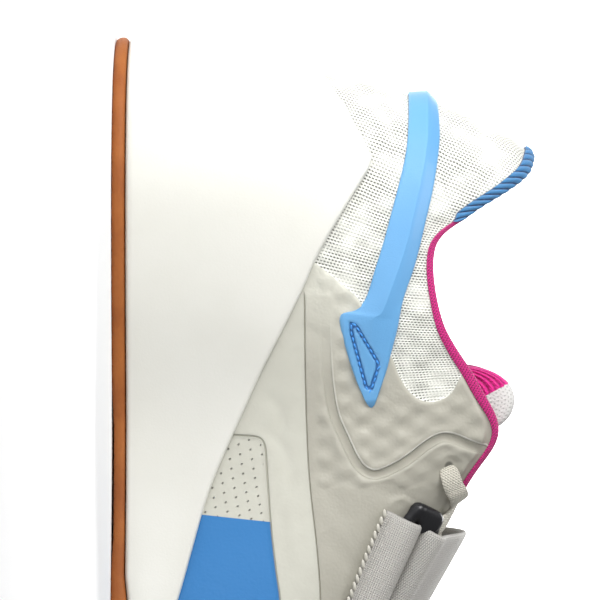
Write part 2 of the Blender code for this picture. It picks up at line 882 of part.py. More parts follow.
def main():
    clear_scene()
    gum = make_material("gum_rubber", (0.30, 0.11, 0.035), 0.55)
    shell = make_material("white_shell", (0.80, 0.79, 0.76), 0.32)
    leather = make_material("white_leather", (0.72, 0.71, 0.68), 0.50)
    knit = make_material("white_knit", (0.70, 0.69, 0.66), 0.85)
    bed = make_material("insole_cloth", (0.08, 0.12, 0.30), 0.90)
    blue = make_material("blue_rubber", (0.14, 0.42, 0.90), 0.40)
    rib = make_material("blue_lining", (0.02, 0.16, 0.70), 0.80)
    magenta = make_material("magenta_tape", (0.62, 0.02, 0.16), 0.75)
    webbing = make_material("grey_webbing", (0.50, 0.50, 0.49), 0.85)
    black = make_material("black_plastic", (0.012, 0.012, 0.014), 0.25)
    cord = make_material("lace_cloth", (0.70, 0.68, 0.62), 0.85)
    make_outsole(gum)
    make_clip(shell)
    make_upper(leather)
    make_insole(bed)
    make_tongue(knit)
    make_toe_cap(leather)
    make_strip(blue)
    make_bindings(magenta)
    make_lining(rib)
    make_strap_parts(webbing, black)
    make_laces(cord)


main()
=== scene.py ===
import math

import bmesh
import bpy
import numpy as np
from mathutils import Matrix, Vector


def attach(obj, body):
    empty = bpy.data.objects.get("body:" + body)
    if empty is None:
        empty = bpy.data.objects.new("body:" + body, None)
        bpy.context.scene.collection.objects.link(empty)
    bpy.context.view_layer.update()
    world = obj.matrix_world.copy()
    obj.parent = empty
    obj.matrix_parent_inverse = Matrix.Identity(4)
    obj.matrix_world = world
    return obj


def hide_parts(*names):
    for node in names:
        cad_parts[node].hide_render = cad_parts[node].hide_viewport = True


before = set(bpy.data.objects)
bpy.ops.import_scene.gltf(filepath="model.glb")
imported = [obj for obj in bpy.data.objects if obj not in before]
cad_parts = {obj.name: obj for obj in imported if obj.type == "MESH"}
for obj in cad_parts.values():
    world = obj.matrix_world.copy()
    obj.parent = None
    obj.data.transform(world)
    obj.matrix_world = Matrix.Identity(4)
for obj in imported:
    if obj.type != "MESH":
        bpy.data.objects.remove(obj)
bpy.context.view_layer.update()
print("frame loaded", len(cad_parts), "nodes")

# The shoe's own sizes, in metres, as the solids have them
shoe = {
    "length": 0.300, "ballWidth": 0.106, "backHeight": 0.1274, "heelRest": 0.045, "gap": 0.0003,
    "outsoleThick": 0.004, "waistRelief": 0.0006, "waistRear": 0.108, "waistFront": 0.162,
    "toeSpring": 0.007, "springStart": 0.245, "randWidth": 0.005, "randHeight": 0.013, "toeBumper": 0.024,
    "heelSeat": 0.025, "ballSeat": 0.009, "seatRear": 0.060, "seatFront": 0.186,
    "clipFront": 0.190, "clipClimb": 0.163, "clipLip": 0.0022, "clipBulge": 0.0012, "noseFloor": 0.0015,
    "wall": 0.0024, "toeRow": 16.0, "turn": 32.0,
}
millimetre = 0.001

# Heel to toe: x as a share of the length, medial and lateral half widths as shares of the ball width
outlineRows = (
    (0.000, 0.000, 0.000), (0.005, 0.098, 0.098), (0.021, 0.190, 0.190), (0.048, 0.275, 0.275),
    (0.092, 0.342, 0.345), (0.160, 0.377, 0.379), (0.265, 0.365, 0.380), (0.373, 0.322, 0.376),
    (0.440, 0.330, 0.393), (0.510, 0.370, 0.430), (0.625, 0.460, 0.503), (0.716, 0.485, 0.515),
    (0.800, 0.470, 0.462), (0.878, 0.420, 0.380), (0.940, 0.335, 0.268), (0.984, 0.225, 0.120),
    (1.000, 0.060, -0.060),
)
# The collar and throat edge: x, height and both half widths as shares
toplineRows = (
    (0.119, 1.000, 0.000, 0.000), (0.124, 0.999, 0.065, 0.065), (0.139, 0.983, 0.132, 0.132),
    (0.157, 0.933, 0.190, 0.190), (0.182, 0.845, 0.243, 0.243), (0.217, 0.756, 0.285, 0.288),
    (0.290, 0.772, 0.308, 0.318), (0.353, 0.858, 0.285, 0.302), (0.402, 0.907, 0.252, 0.272),
    (0.450, 0.843, 0.220, 0.240), (0.530, 0.722, 0.182, 0.202), (0.610, 0.605, 0.158, 0.170),
    (0.655, 0.537, 0.142, 0.146), (0.681, 0.500, 0.112, 0.112), (0.693, 0.482, 0.076, 0.072),
    (0.699, 0.474, 0.040, 0.032), (0.701, 0.471, 0.000, 0.000),
)
# How the wall swells: low handle out and up, high handle out and down
swellRows = (
    (-0.020, 0.40, 0.110, 0.09), (-0.020, 0.40, 0.105, 0.09), (-0.018, 0.40, 0.090, 0.10),
    (-0.012, 0.40, 0.070, 0.12), (-0.004, 0.40, 0.055, 0.15), (0.004, 0.38, 0.045, 0.20),
    (0.018, 0.36, 0.030, 0.26), (0.034, 0.36, 0.050, 0.28), (0.038, 0.38, 0.085, 0.26),
    (0.040, 0.40, 0.120, 0.24), (0.045, 0.42, 0.165, 0.20), (0.048, 0.45, 0.205, 0.19),
    (0.050, 0.50, 0.250, 0.18), (0.052, 0.56, 0.300, 0.18), (0.055, 0.62, 0.345, 0.18),
    (0.056, 0.67, 0.385, 0.19), (0.057, 0.71, 0.410, 0.20),
)


def closedLoop(rows, heights):
    # Medial rows from heel to toe, then lateral rows back to the heel
    last = len(rows) - 1
    loop = []
    for i in range(2 * last):
        row = rows[i] if i <= last else rows[2 * last - i]
        width = -row[-2] if i <= last else row[-1]
        height = row[1] * shoe["backHeight"] if heights else 0.0
        loop.append((row[0] * shoe["length"] - shoe["heelRest"], width * shoe["ballWidth"], height))
    return np.array(loop)


def mirroredLoop(rows):
    last = len(rows) - 1
    return np.array([rows[i] if i <= last else rows[2 * last - i] for i in range(2 * last)])


outlineLoop = closedLoop(outlineRows, False)
toplineLoop = closedLoop(toplineRows, True)
swellLoop = mirroredLoop(swellRows)


def through(a, b, c, d, f):
    # The smooth curve from b to c, with a before them and d after
    bend = 2 * b + (c - a) * f + (2 * a - 5 * b + 4 * c - d) * f ** 2
    return 0.5 * (bend + (3 * b - a - 3 * c + d) * f ** 3)


def along(loop, q):
    # A smooth closed curve through the rows, at many places at once
    q = np.atleast_1d(np.asarray(q, dtype=float))
    i = np.floor(q).astype(int)
    a, b, c, d = (loop[(i + k) % len(loop)] for k in (-1, 0, 1, 2))
    return through(a, b, c, d, (q - i)[:, None])


def smooth(low, high, value):
    share = np.clip((value - low) / (high - low), 0.0, 1.0)
    return share * share * (3.0 - 2.0 * share)


def outward(q):
    step = 0.02
    run = along(outlineLoop, np.asarray(q) + step) - along(outlineLoop, np.asarray(q) - step)
    out = np.stack((run[:, 1], -run[:, 0], np.zeros(len(run))), axis=1)
    return out / np.linalg.norm(out, axis=1)[:, None]


def spring(x):
    start = shoe["springStart"] - shoe["heelRest"]
    end = shoe["length"] - shoe["heelRest"]
    return shoe["toeSpring"] * (np.maximum(0.0, x - start) / (end - start)) ** 2


def seat(x):
    rear = shoe["seatRear"] - shoe["heelRest"]
    front = shoe["seatFront"] - shoe["heelRest"]
    return shoe["heelSeat"] + (shoe["ballSeat"] - shoe["heelSeat"]) * smooth(rear, front, x) + spring(x)


def inset(q, depth, z):
    point = along(outlineLoop, q) - outward(q) * np.reshape(depth, (-1, 1))
    point[:, 2] = z
    return point


def onSeat(q, depth, above):
    point = inset(q, depth, 0.0)
    point[:, 2] = seat(point[:, 0]) + above
    return point


def wallCurve(q):
    out = outward(q)
    foot = onSeat(q, shoe["randWidth"] + shoe["gap"], shoe["gap"])
    top = along(toplineLoop, q)
    rise = top[:, 2] - foot[:, 2]
    swell = along(swellLoop, q)
    low = foot + out * (swell[:, 0] * shoe["ballWidth"])[:, None]
    low[:, 2] += swell[:, 1] * rise
    high = top + out * (swell[:, 2] * shoe["ballWidth"])[:, None]
    high[:, 2] -= swell[:, 3] * rise
    return foot, low, high, top


def bezier(a, b, c, d, h):
    h = np.reshape(h, (-1, 1))
    k = 1.0 - h
    return k ** 3 * a + 3 * k * k * h * b + 3 * k * h * h * c + h ** 3 * d


def wallNormal(q, h):
    step = 0.01
    up = bezier(*wallCurve(q), np.minimum(1.0, h + step)) - bezier(*wallCurve(q), np.maximum(0.0, h - step))
    side = bezier(*wallCurve(q + step), h) - bezier(*wallCurve(q - step), h)
    normal = np.cross(side, up)
    return normal / np.linalg.norm(normal, axis=1)[:, None]


def wallPoint(q, h, out=0.0):
    # q goes round the shoe, h from the sole to the topline, out along the normal
    q, h, out = np.broadcast_arrays(np.atleast_1d(np.asarray(q, float)), np.asarray(h, float), out)
    point = bezier(*wallCurve(q), h)
    return point + wallNormal(q, h) * out[:, None]


def findHeight(q, edge):
    low = np.full(len(q), 0.02)
    high = np.full(len(q), 0.98)
    for _ in range(26):
        middle = 0.5 * (low + high)
        point = bezier(*wallCurve(q), middle)
        below = point[:, 2] < edge(point[:, 0])
        low = np.where(below, middle, low)
        high = np.where(below, high, middle)
    return low


def edgeShare(q, distance):
    # The share of the wall's height that lies some distance below the topline; 1.05 allows for its bend
    _, _, high, top = wallCurve(q)
    return 1.0 - distance / (3.0 * np.linalg.norm(top - high, axis=1)) * 1.05


def rowAt(x):
    rows = np.linspace(0.0, shoe["toeRow"], 1601)
    return float(np.interp(x - shoe["heelRest"], along(outlineLoop, rows)[:, 0], rows))


def sideLine(points):
    # A side-view line in millimetres from the rearmost heel and the floor, as metres in the shoe's frame
    line = np.array(points, dtype=float) * millimetre
    line[:, 0] -= shoe["heelRest"]
    return line


def lineDistance(points, line):
    # Distance in the side view to a line, with its share along the line
    best = np.full(len(points), 1.0)
    share = np.zeros(len(points))
    flat = points[:, (0, 2)]
    lengths = np.linalg.norm(np.diff(line, axis=0), axis=1)
    total = lengths.sum()
    before = 0.0
    for a, b, size in zip(line[:-1], line[1:], lengths):
        run = b - a
        t = np.clip(((flat - a) @ run) / (run @ run), 0.0, 1.0)
        gap = np.linalg.norm(flat - a - t[:, None] * run, axis=1)
        nearer = gap < best
        best = np.where(nearer, gap, best)
        share = np.where(nearer, (before + t * size) / total, share)
        before += size
    return best, share


def areaDistance(points, line):
    # Signed distance in the side view to a closed outline, positive inside
    ring = np.vstack((line, line[:1]))
    gap, _ = lineDistance(points, ring)
    x, z = points[:, 0], points[:, 2]
    inside = np.zeros(len(points), dtype=bool)
    for (ax, az), (bx, bz) in zip(ring[:-1], ring[1:]):
        if az == bz:
            continue
        crosses = (az > z) != (bz > z)
        inside ^= crosses & (x < (bx - ax) * (z - az) / (bz - az) + ax)
    return np.where(inside, gap, -gap)


def smoothLine(points, steps=6):
    # The same line with its corners eased
    line = np.array(points, dtype=float)
    padded = np.vstack((2 * line[0] - line[1], line, 2 * line[-1] - line[-2]))
    out = []
    for i in range(1, len(padded) - 2):
        for f in np.linspace(0.0, 1.0, steps, endpoint=False):
            out.append(through(*padded[i - 1:i + 3], f))
    out.append(line[-1])
    return np.array(out)


def runLength(points):
    # The length of a line up to each of its points
    return np.concatenate(([0.0], np.cumsum(np.linalg.norm(np.diff(points, axis=0), axis=1))))


def evenPlaces(curve, first, last, count, fine=2001):
    # Places round the shoe at equal steps of a curve's own length, and that length
    places = np.linspace(first, last, fine)
    run = runLength(curve(places))
    return np.interp(np.linspace(0.0, run[-1], count), run, places), run[-1]


def evenRows(first, last, count):
    return evenPlaces(lambda q: wallPoint(q, 0.55), first, last, count)[0]


def evenOutline(first, last, count):
    return evenPlaces(lambda q: along(outlineLoop, q), first, last, count)[0]


def evenTopline(first, last, count):
    return evenPlaces(lambda q: along(toplineLoop, q), first, last, count, 3001)


# Mesh helpers

def linkPiece(name, data):
    piece = bpy.data.objects.new(name, data)
    bpy.context.collection.objects.link(piece)
    return piece


def skinPiece(name, mesh, material, sharp):
    # Joins points that meet, turns the faces outward and smooths all but the sharp edges
    work = bmesh.new()
    work.from_mesh(mesh)
    bmesh.ops.remove_doubles(work, verts=work.verts, dist=1e-7)
    bmesh.ops.recalc_face_normals(work, faces=work.faces)
    if work.calc_volume(signed=True) < 0:
        bmesh.ops.reverse_faces(work, faces=work.faces)
    work.to_mesh(mesh)
    work.free()
    mesh.shade_smooth()
    mesh.set_sharp_from_angle(angle=math.radians(sharp))
    mesh.materials.append(material)
    return linkPiece(name, mesh)


def tubeMesh(name, rings, material, loop=False, flow=None, marks=None, sharp=50.0):
    # Joins closed rings of points into one closed skin, with a flow map and named values at the points
    rings = np.asarray(rings)
    count, size = rings.shape[:2]
    verts = rings.reshape(-1, 3)
    spans = count if loop else count - 1
    i = np.repeat(np.arange(spans), size)
    k = np.tile(np.arange(size), spans)
    j = (i + 1) % count
    n = (k + 1) % size
    quads = np.stack((i * size + k, i * size + n, j * size + n, j * size + k), axis=1).tolist()
    if not loop:
        quads.append(list(range(size)))
        quads.append([(count - 1) * size + m for m in reversed(range(size))])
    mesh = bpy.data.meshes.new(name)
    mesh.from_pydata(verts.tolist(), [], quads)
    if marks:
        for key, values in marks.items():
            layer = mesh.attributes.new(key, "FLOAT", "POINT")
            layer.data.foreach_set("value", np.asarray(values, dtype=np.float32).ravel())
    if flow is not None:
        layer = mesh.uv_layers.new(name="flow")
        corners = np.zeros(len(mesh.loops), dtype=np.int32)
        mesh.loops.foreach_get("vertex_index", corners)
        layer.data.foreach_set("uv", np.asarray(flow, dtype=np.float32).reshape(-1, 2)[corners].ravel())
    return skinPiece(name, mesh, material, sharp)


def finishPiece(piece, slotName, *nodes):
    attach(piece, "root")
    if nodes:
        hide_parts(*nodes)
    return piece


def flowMap(rings):
    # Lengths in millimetres round and up the piece, so that patterns keep their scale on the surface
    rings = np.asarray(rings)
    up = np.zeros(rings.shape[:2])
    up[:, 1:] = np.cumsum(np.linalg.norm(np.diff(rings, axis=1), axis=2), axis=1)
    run = runLength(rings[:, rings.shape[1] // 4])
    return np.stack((np.repeat(run[:, None], rings.shape[1], axis=1), up), axis=2) / millimetre


# Shader helpers

def addNode(tree, kind, inputs=None, **values):
    made = tree.nodes.new(kind)
    for key, value in values.items():
        setattr(made, key, value)
    for key, value in (inputs or {}).items():
        if isinstance(value, bpy.types.NodeSocket):
            tree.links.new(value, made.inputs[key])
        else:
            made.inputs[key].default_value = value
    return made


def maths(tree, operation, *values):
    return addNode(tree, "ShaderNodeMath", dict(enumerate(values)), operation=operation).outputs[0]


def times(tree, a, b):
    return maths(tree, "MULTIPLY", a, b)


def plus(tree, a, b):
    return maths(tree, "ADD", a, b)


def minus(tree, a, b):
    return maths(tree, "SUBTRACT", a, b)


def flip(tree, share):
    return minus(tree, 1.0, share)


def stepUp(tree, value, low, high):
    made = addNode(tree, "ShaderNodeMapRange", {"Value": value, "From Min": low, "From Max": high},
                   interpolation_type="SMOOTHSTEP")
    return made.outputs["Result"]


def onLine(tree, away, near, far):
    # One on a line, falling to nothing between two distances from it
    return flip(tree, stepUp(tree, maths(tree, "ABSOLUTE", away), near, far))


def mixColour(tree, share, a, b):
    made = addNode(tree, "ShaderNodeMix", data_type="RGBA")
    for socket, value in ((made.inputs[0], share), (made.inputs[6], a), (made.inputs[7], b)):
        if isinstance(value, bpy.types.NodeSocket):
            tree.links.new(value, socket)
        else:
            socket.default_value = value if isinstance(value, float) else (*value, 1.0)
    return made.outputs[2]


def newGroup(name, sizes, results):
    # A group that takes a vector and some sizes, and gives some values
    group = bpy.data.node_groups.new(name, "ShaderNodeTree")
    group.interface.new_socket("Vector", in_out="INPUT", socket_type="NodeSocketVector")
    for label, value in sizes.items():
        made = group.interface.new_socket(label, in_out="INPUT", socket_type="NodeSocketFloat")
        made.default_value = value
    for label in results:
        group.interface.new_socket(label, in_out="OUTPUT", socket_type="NodeSocketFloat")
    return group, group.nodes.new("NodeGroupInput").outputs, group.nodes.new("NodeGroupOutput").inputs


def buildDotRows():
    # Staggered rows of small round holes; pitches in the map's own unit
    sizes = {"Pitch": 1.5, "Row": 1.2, "Radius": 0.3, "Long": 1.0}
    group, given, result = newGroup("dotRows", sizes, ("Mask",))
    split = addNode(group, "ShaderNodeSeparateXYZ", {0: given["Vector"]}).outputs
    row = maths(group, "DIVIDE", split[1], given["Row"])
    shift = times(group, maths(group, "MODULO", maths(group, "FLOOR", row), 2.0), 0.5)
    column = plus(group, maths(group, "DIVIDE", split[0], given["Pitch"]), shift)
    across = times(group, minus(group, maths(group, "FRACT", column), 0.5), given["Pitch"])
    across = maths(group, "DIVIDE", across, given["Long"])
    up = times(group, minus(group, maths(group, "FRACT", row), 0.5), given["Row"])
    far = maths(group, "SQRT", plus(group, times(group, across, across), times(group, up, up)))
    mask = flip(group, stepUp(group, maths(group, "DIVIDE", far, given["Radius"]), 0.6, 1.3))
    group.links.new(mask, result["Mask"])
    return group


def buildGrain():
    # Fine leather cells with a slower crumple
    group, given, result = newGroup("leatherGrain", {"Cell": 0.9, "Crumple": 0.2}, ("Height", "Cloud"))
    cells = addNode(group, "ShaderNodeTexVoronoi", {"Vector": given["Vector"], "Scale": given["Cell"]},
                    feature="SMOOTH_F1").outputs["Distance"]
    crumple = addNode(group, "ShaderNodeTexNoise", {"Vector": given["Vector"], "Scale": given["Crumple"],
                                                    "Detail": 4.0, "Distortion": 0.6}).outputs["Fac"]
    height = plus(group, times(group, cells, -0.35), times(group, crumple, 1.2))
    group.links.new(height, result["Height"])
    group.links.new(crumple, result["Cloud"])
    return group


def buildWeave():
    # Two crossing sets of threads at a slant
    group, given, result = newGroup("weave", {"Across": 0.6, "Along": 0.6, "Slant": 0.0}, ("Height",))
    split = addNode(group, "ShaderNodeSeparateXYZ", {0: given["Vector"]}).outputs
    slanted = plus(group, split[0], times(group, split[1], given["Slant"]))
    waves = []
    for place, pitch in ((slanted, given["Across"]), (split[1], given["Along"])):
        turn = maths(group, "DIVIDE", times(group, place, 2 * math.pi), pitch)
        waves.append(maths(group, "SINE", turn))
    height = plus(group, times(group, waves[0], 0.5), times(group, times(group, *waves), 0.5))
    group.links.new(height, result["Height"])
    return group


dotRows = buildDotRows()
leatherGrain = buildGrain()
weave = buildWeave()


def holeMask(tree, vector, holes):
    # Holes from their pitch, row, radius and stretch in millimetres
    sizes = dict(zip(("Pitch", "Row", "Radius", "Long"), holes))
    return addNode(tree, "ShaderNodeGroup", {"Vector": vector, **sizes}, node_tree=dotRows).outputs["Mask"]


def threadHeight(tree, vector, threads):
    # Threads from their pitch across and along, in millimetres, and their slant
    sizes = dict(zip(("Across", "Along", "Slant"), threads))
    return addNode(tree, "ShaderNodeGroup", {"Vector": vector, **sizes}, node_tree=weave).outputs["Height"]


def leather(tree, vector, cell, crumple):
    return addNode(tree, "ShaderNodeGroup", {"Vector": vector, "Cell": cell, "Crumple": crumple},
                   node_tree=leatherGrain).outputs


def noise(tree, vector, scale, detail=3.0):
    inputs = {"Vector": vector, "Scale": scale, "Detail": detail}
    return addNode(tree, "ShaderNodeTexNoise", inputs).outputs["Fac"]


def newMaterial(name, colour, roughness, **values):
    material = bpy.data.materials.new(name)
    material.use_nodes = True
    tree = material.node_tree
    shader = tree.nodes["Principled BSDF"]
    shader.inputs["Base Color"].default_value = (*colour, 1.0)
    shader.inputs["Roughness"].default_value = roughness
    for key, value in values.items():
        shader.inputs[key].default_value = value
    return material, tree, shader


def flowVector(tree):
    return addNode(tree, "ShaderNodeUVMap", uv_map="flow").outputs["UV"]


def placeVector(tree):
    # Object place in millimetres
    inputs = {0: addNode(tree, "ShaderNodeTexCoord").outputs["Object"], 3: 1.0 / millimetre}
    return addNode(tree, "ShaderNodeVectorMath", inputs, operation="SCALE").outputs[0]


def sidewaysVector(tree):
    # The flow map with its two directions changed over
    split = addNode(tree, "ShaderNodeSeparateXYZ", {0: flowVector(tree)}).outputs
    return addNode(tree, "ShaderNodeCombineXYZ", {0: split[1], 1: split[0]}).outputs[0]


def addBump(tree, shader, height, distance):
    bump = addNode(tree, "ShaderNodeBump", {"Height": height, "Distance": distance})
    tree.links.new(bump.outputs["Normal"], shader.inputs["Normal"])


def paint(tree, shader, colour):
    tree.links.new(colour, shader.inputs["Base Color"])


def readMark(tree, name):
    return addNode(tree, "ShaderNodeAttribute", attribute_name=name).outputs["Fac"]


def wovenMaterial(name, vector, cloth):
    # Cloth in two colours, which change over at the thread heights in "change"
    face, deep = cloth["face"], cloth["deep"]
    material, tree, shader = newMaterial(name, face, cloth["rough"], **{"Sheen Weight": cloth["sheen"]})
    threads = threadHeight(tree, vector(tree), cloth["threads"])
    paint(tree, shader, mixColour(tree, stepUp(tree, threads, *cloth["change"]), face, deep))
    addBump(tree, shader, threads, cloth["bump"])
    return material


def buildStitchNodes():
    # One rounded stitch on each point, laid along "run" with its back to "face"
    group = bpy.data.node_groups.new("stitchSet", "GeometryNodeTree")
    group.interface.new_socket("Geometry", in_out="INPUT", socket_type="NodeSocketGeometry")
    for label, value in (("Length", 0.0015), ("Thick", 0.0005)):
        group.interface.new_socket(label, in_out="INPUT", socket_type="NodeSocketFloat").default_value = value
    group.interface.new_socket("Material", in_out="INPUT", socket_type="NodeSocketMaterial")
    group.interface.new_socket("Geometry", in_out="OUTPUT", socket_type="NodeSocketGeometry")
    start = group.nodes.new("NodeGroupInput")
    end = group.nodes.new("NodeGroupOutput")
    run, face = (addNode(group, "GeometryNodeInputNamedAttribute", {"Name": name},
                         data_type="FLOAT_VECTOR").outputs["Attribute"] for name in ("run", "face"))
    turned = addNode(group, "FunctionNodeAlignRotationToVector", {"Vector": run}, axis="X").outputs[0]
    rolled = addNode(group, "FunctionNodeAlignRotationToVector", {"Rotation": turned, "Vector": face},
                     axis="Z", pivot_axis="X")
    half = times(group, start.outputs["Thick"], 0.5)
    halfLong = times(group, start.outputs["Length"], 0.5)
    size = addNode(group, "ShaderNodeCombineXYZ", {0: halfLong, 1: half, 2: half})
    bead = addNode(group, "GeometryNodeMeshUVSphere", {"Segments": 8, "Rings": 6, "Radius": 1.0})
    placed = addNode(group, "GeometryNodeInstanceOnPoints",
                     {"Points": start.outputs["Geometry"], "Instance": bead.outputs["Mesh"],
                      "Rotation": rolled.outputs[0], "Scale": size.outputs[0]})
    solid = addNode(group, "GeometryNodeRealizeInstances", {"Geometry": placed.outputs["Instances"]})
    smoothed = addNode(group, "GeometryNodeSetShadeSmooth", {"Geometry": solid.outputs["Geometry"]})
    painted = addNode(group, "GeometryNodeSetMaterial", {"Geometry": smoothed.outputs["Geometry"],
                                                         "Material": start.outputs["Material"]})
    group.links.new(painted.outputs["Geometry"], end.inputs["Geometry"])
    return group


stitchSet = buildStitchNodes()


def stitchPiece(name, points, runs, faces, length, thick, material):
    mesh = bpy.data.meshes.new(name)
    mesh.from_pydata(np.asarray(points).tolist(), [], [])
    for key, values in (("run", runs), ("face", faces)):
        layer = mesh.attributes.new(key, "FLOAT_VECTOR", "POINT")
        layer.data.foreach_set("vector", np.asarray(values, dtype=np.float32).ravel())
    piece = linkPiece(name, mesh)
    sewn = piece.modifiers.new("stitches", "NODES")
    sewn.node_group = stitchSet
    names = {item.name: item.identifier for item in stitchSet.interface.items_tree
             if item.item_type == "SOCKET" and item.in_out == "INPUT"}
    sewn[names["Length"]] = length
    sewn[names["Thick"]] = thick
    sewn[names["Material"]] = material
    bpy.context.view_layer.update()
    solid = bpy.data.meshes.new_from_object(piece.evaluated_get(bpy.context.evaluated_depsgraph_get()))
    piece.modifiers.remove(sewn)
    piece.data = solid
    return piece


def stitchLine(path, spacing):
    # Even places along a line, each with the line's own direction
    run = runLength(path)
    total = run[-1]
    reach = 0.0003
    count = max(2, int(round(total / spacing)))
    at = (np.arange(count) + 0.5) * total / count

    def onPath(where):
        return np.stack([np.interp(where, run, path[:, k]) for k in range(3)], axis=1)

    return onPath(at), onPath(np.minimum(at + reach, total)) - onPath(np.maximum(at - reach, 0.0))


def settleSide(x, z, q, h):
    # The place on the wall that shows at x and z in the side view
    step = 0.004
    for _ in range(10):
        here = wallPoint(q, h)[0]
        run = (wallPoint(q + step, h)[0] - here) / step
        rise = (here - wallPoint(q, h - step)[0]) / step
        turn = np.array(((run[0], rise[0]), (run[2], rise[2])))
        move = np.linalg.solve(turn, np.array((x - here[0], z - here[2])))
        q += move[0]
        h += move[1]
    return q, h


print("helpers ready")

# The upper: one hollow skin in two halves, with its panels, grooves and creases in the side view
upperSet = {
    "medialAcross": 470, "lateralAcross": 330, "medialUp": 128, "lateralUp": 84, "innerUp": 12,
    "edgeSoft": 0.0006, "coverStep": 0.00055, "windowDeep": 0.0005, "seamStep": 0.00035,
    "grooveDeep": 0.0007, "grooveHalf": 0.0014, "ridgeHigh": 0.0003, "ridgeAway": 1.7,
    "quiltPitch": 0.0058, "quiltHigh": 0.00042, "quiltReach": 0.020, "quiltFront": 0.092, "quiltLow": 0.062,
    "knitPuff": 0.85, "eye": (130.4, 101.2),
    "white": (0.55, 0.545, 0.475), "quarter": (0.41, 0.395, 0.335), "knit": (0.77, 0.77, 0.71),
    # the holes' colour is painted shade in the knit, the window and the eyelet
    "shade": (0.44, 0.43, 0.37), "holeShade": (0.085, 0.085, 0.07), "blue": (0.022, 0.18, 0.46),
    "line": (0.16, 0.15, 0.09), "lining": (0.30, 0.31, 0.33),
    # holes: pitch, row, radius and stretch in millimetres; ribs: across and along
    "knitHoles": (1.05, 1.10, 0.25, 1.5), "windowHoles": (4.4, 2.2, 0.30), "ribs": (1.45, 1.15),
    "windowTurn": 25, "coverRough": 0.47, "knitRough": 0.33, "liningRough": 0.9, "bump": 0.00022,
    # where the knit ends towards the toe, from the clip up to the collar, then the corners behind it
    "knitEdge": ((66, 56), (71, 63), (76, 69), (81, 74.5), (90, 79), (97.8, 84.1), (103.2, 86.2), (107.8, 89),
                 (110.7, 92.6), (111.3, 96.2), (110.4, 99.8), (108.2, 102.4), (104.2, 104.6), (99, 108)),
    "knitRear": ((99, 140), (-30, 140), (-30, -5), (66, -5)),
    # the moulded groove, from the throat down and back along the ankle, then the corners behind it
    "groove": ((126.6, 114), (124.2, 107.2), (122.4, 102.6), (122.2, 99), (124.2, 95), (129, 88.6),
               (132.4, 82.4), (133.3, 78.4), (131.6, 75), (128, 72.4), (122, 69.6), (114.6, 66.6),
               (104, 64.9), (92, 64.2), (80.5, 63.8)),
    "grooveRear": ((-30, 63.8), (-30, 140), (126.6, 140)),
    "seam": ((77.7, 57.5), (80.7, 57.9), (92, 58), (109.4, 58.3), (126.6, 58.9), (138.1, 59.7), (155.3, 61.5),
             (170.7, 62.4), (186, 61.5), (198, 57.5)),
    # the perforated window over the side
    "window": ((120.6, 28), (121.2, 33), (121.5, 38), (121.8, 42.6), (122.6, 44.9), (124.8, 46.0),
               (128.5, 46.4), (134.7, 46.8), (149.7, 47.9), (161.1, 49.2), (172, 50.6), (190, 51), (204, 49),
               (214, 44.5), (220, 37), (223, 28), (224, 12), (150, 12), (122, 18)),
    # the plain blue block in the window's front
    "block": ((143.5, 10), (147.5, 49.4), (161.1, 50.8), (172, 51.8), (190, 52), (206, 50), (217, 44.5),
              (223, 36), (228, 10)),
}

creases = (
    # soft troughs and ridges: side-view line in millimetres, half width, height (minus is a trough)
    (((86, 97), (92, 92), (99, 89)), 2.6, -0.55),
    (((92, 101), (98, 97), (104, 95.5)), 2.2, -0.45),
    (((89, 99), (95, 94.5), (101, 92)), 1.8, 0.35),
    (((58, 101), (60, 94), (66, 88)), 3.2, -0.40),
    (((98, 70), (104, 74), (112, 80)), 3.0, -0.45),
    (((112, 82), (117, 78), (121, 75)), 2.6, -0.45),
    (((113, 92), (118, 90), (121, 86)), 2.4, -0.40),
    (((88, 56), (92, 63), (99, 66)), 2.4, -0.35),
    (((109, 46), (113, 50), (122, 52)), 2.2, -0.40),
    (((118, 44), (126, 52), (140, 54.5)), 2.0, -0.35),
    (((136, 57), (146, 53.5), (158, 55)), 2.0, 0.30),
    (((128, 62), (140, 66), (150, 72)), 3.4, -0.45),
    (((150, 64), (158, 70), (163, 76)), 3.0, -0.35),
    (((186, 60), (196, 52), (203, 40)), 4.5, -0.60),
    (((196, 62), (206, 52), (213, 38)), 4.5, -0.70),
    (((208, 58), (217, 48), (222, 34)), 4.0, -0.50),
    (((202, 61), (211, 51), (218, 36)), 3.0, 0.45),
    # the raised rims round the eyelet and above the strap's flap
    (((127.6, 99.0), (127.0, 102.2), (129.0, 105.2), (132.6, 105.6)), 0.9, 0.55),
    (((133.4, 98.2), (134.6, 100.4), (134.4, 103.6)), 0.9, 0.35),
    (((144.0, 83.0), (141.2, 84.6), (140.6, 87.4), (142.6, 90.0)), 1.1, 0.50),
    # wrinkles of the quarter below the groove
    (((112, 62), (120, 66), (131, 70)), 2.2, 0.35),
    (((134, 76), (139, 84), (141, 92)), 2.4, -0.40),
    (((126, 84), (133, 90), (138, 97)), 2.2, 0.30),
)


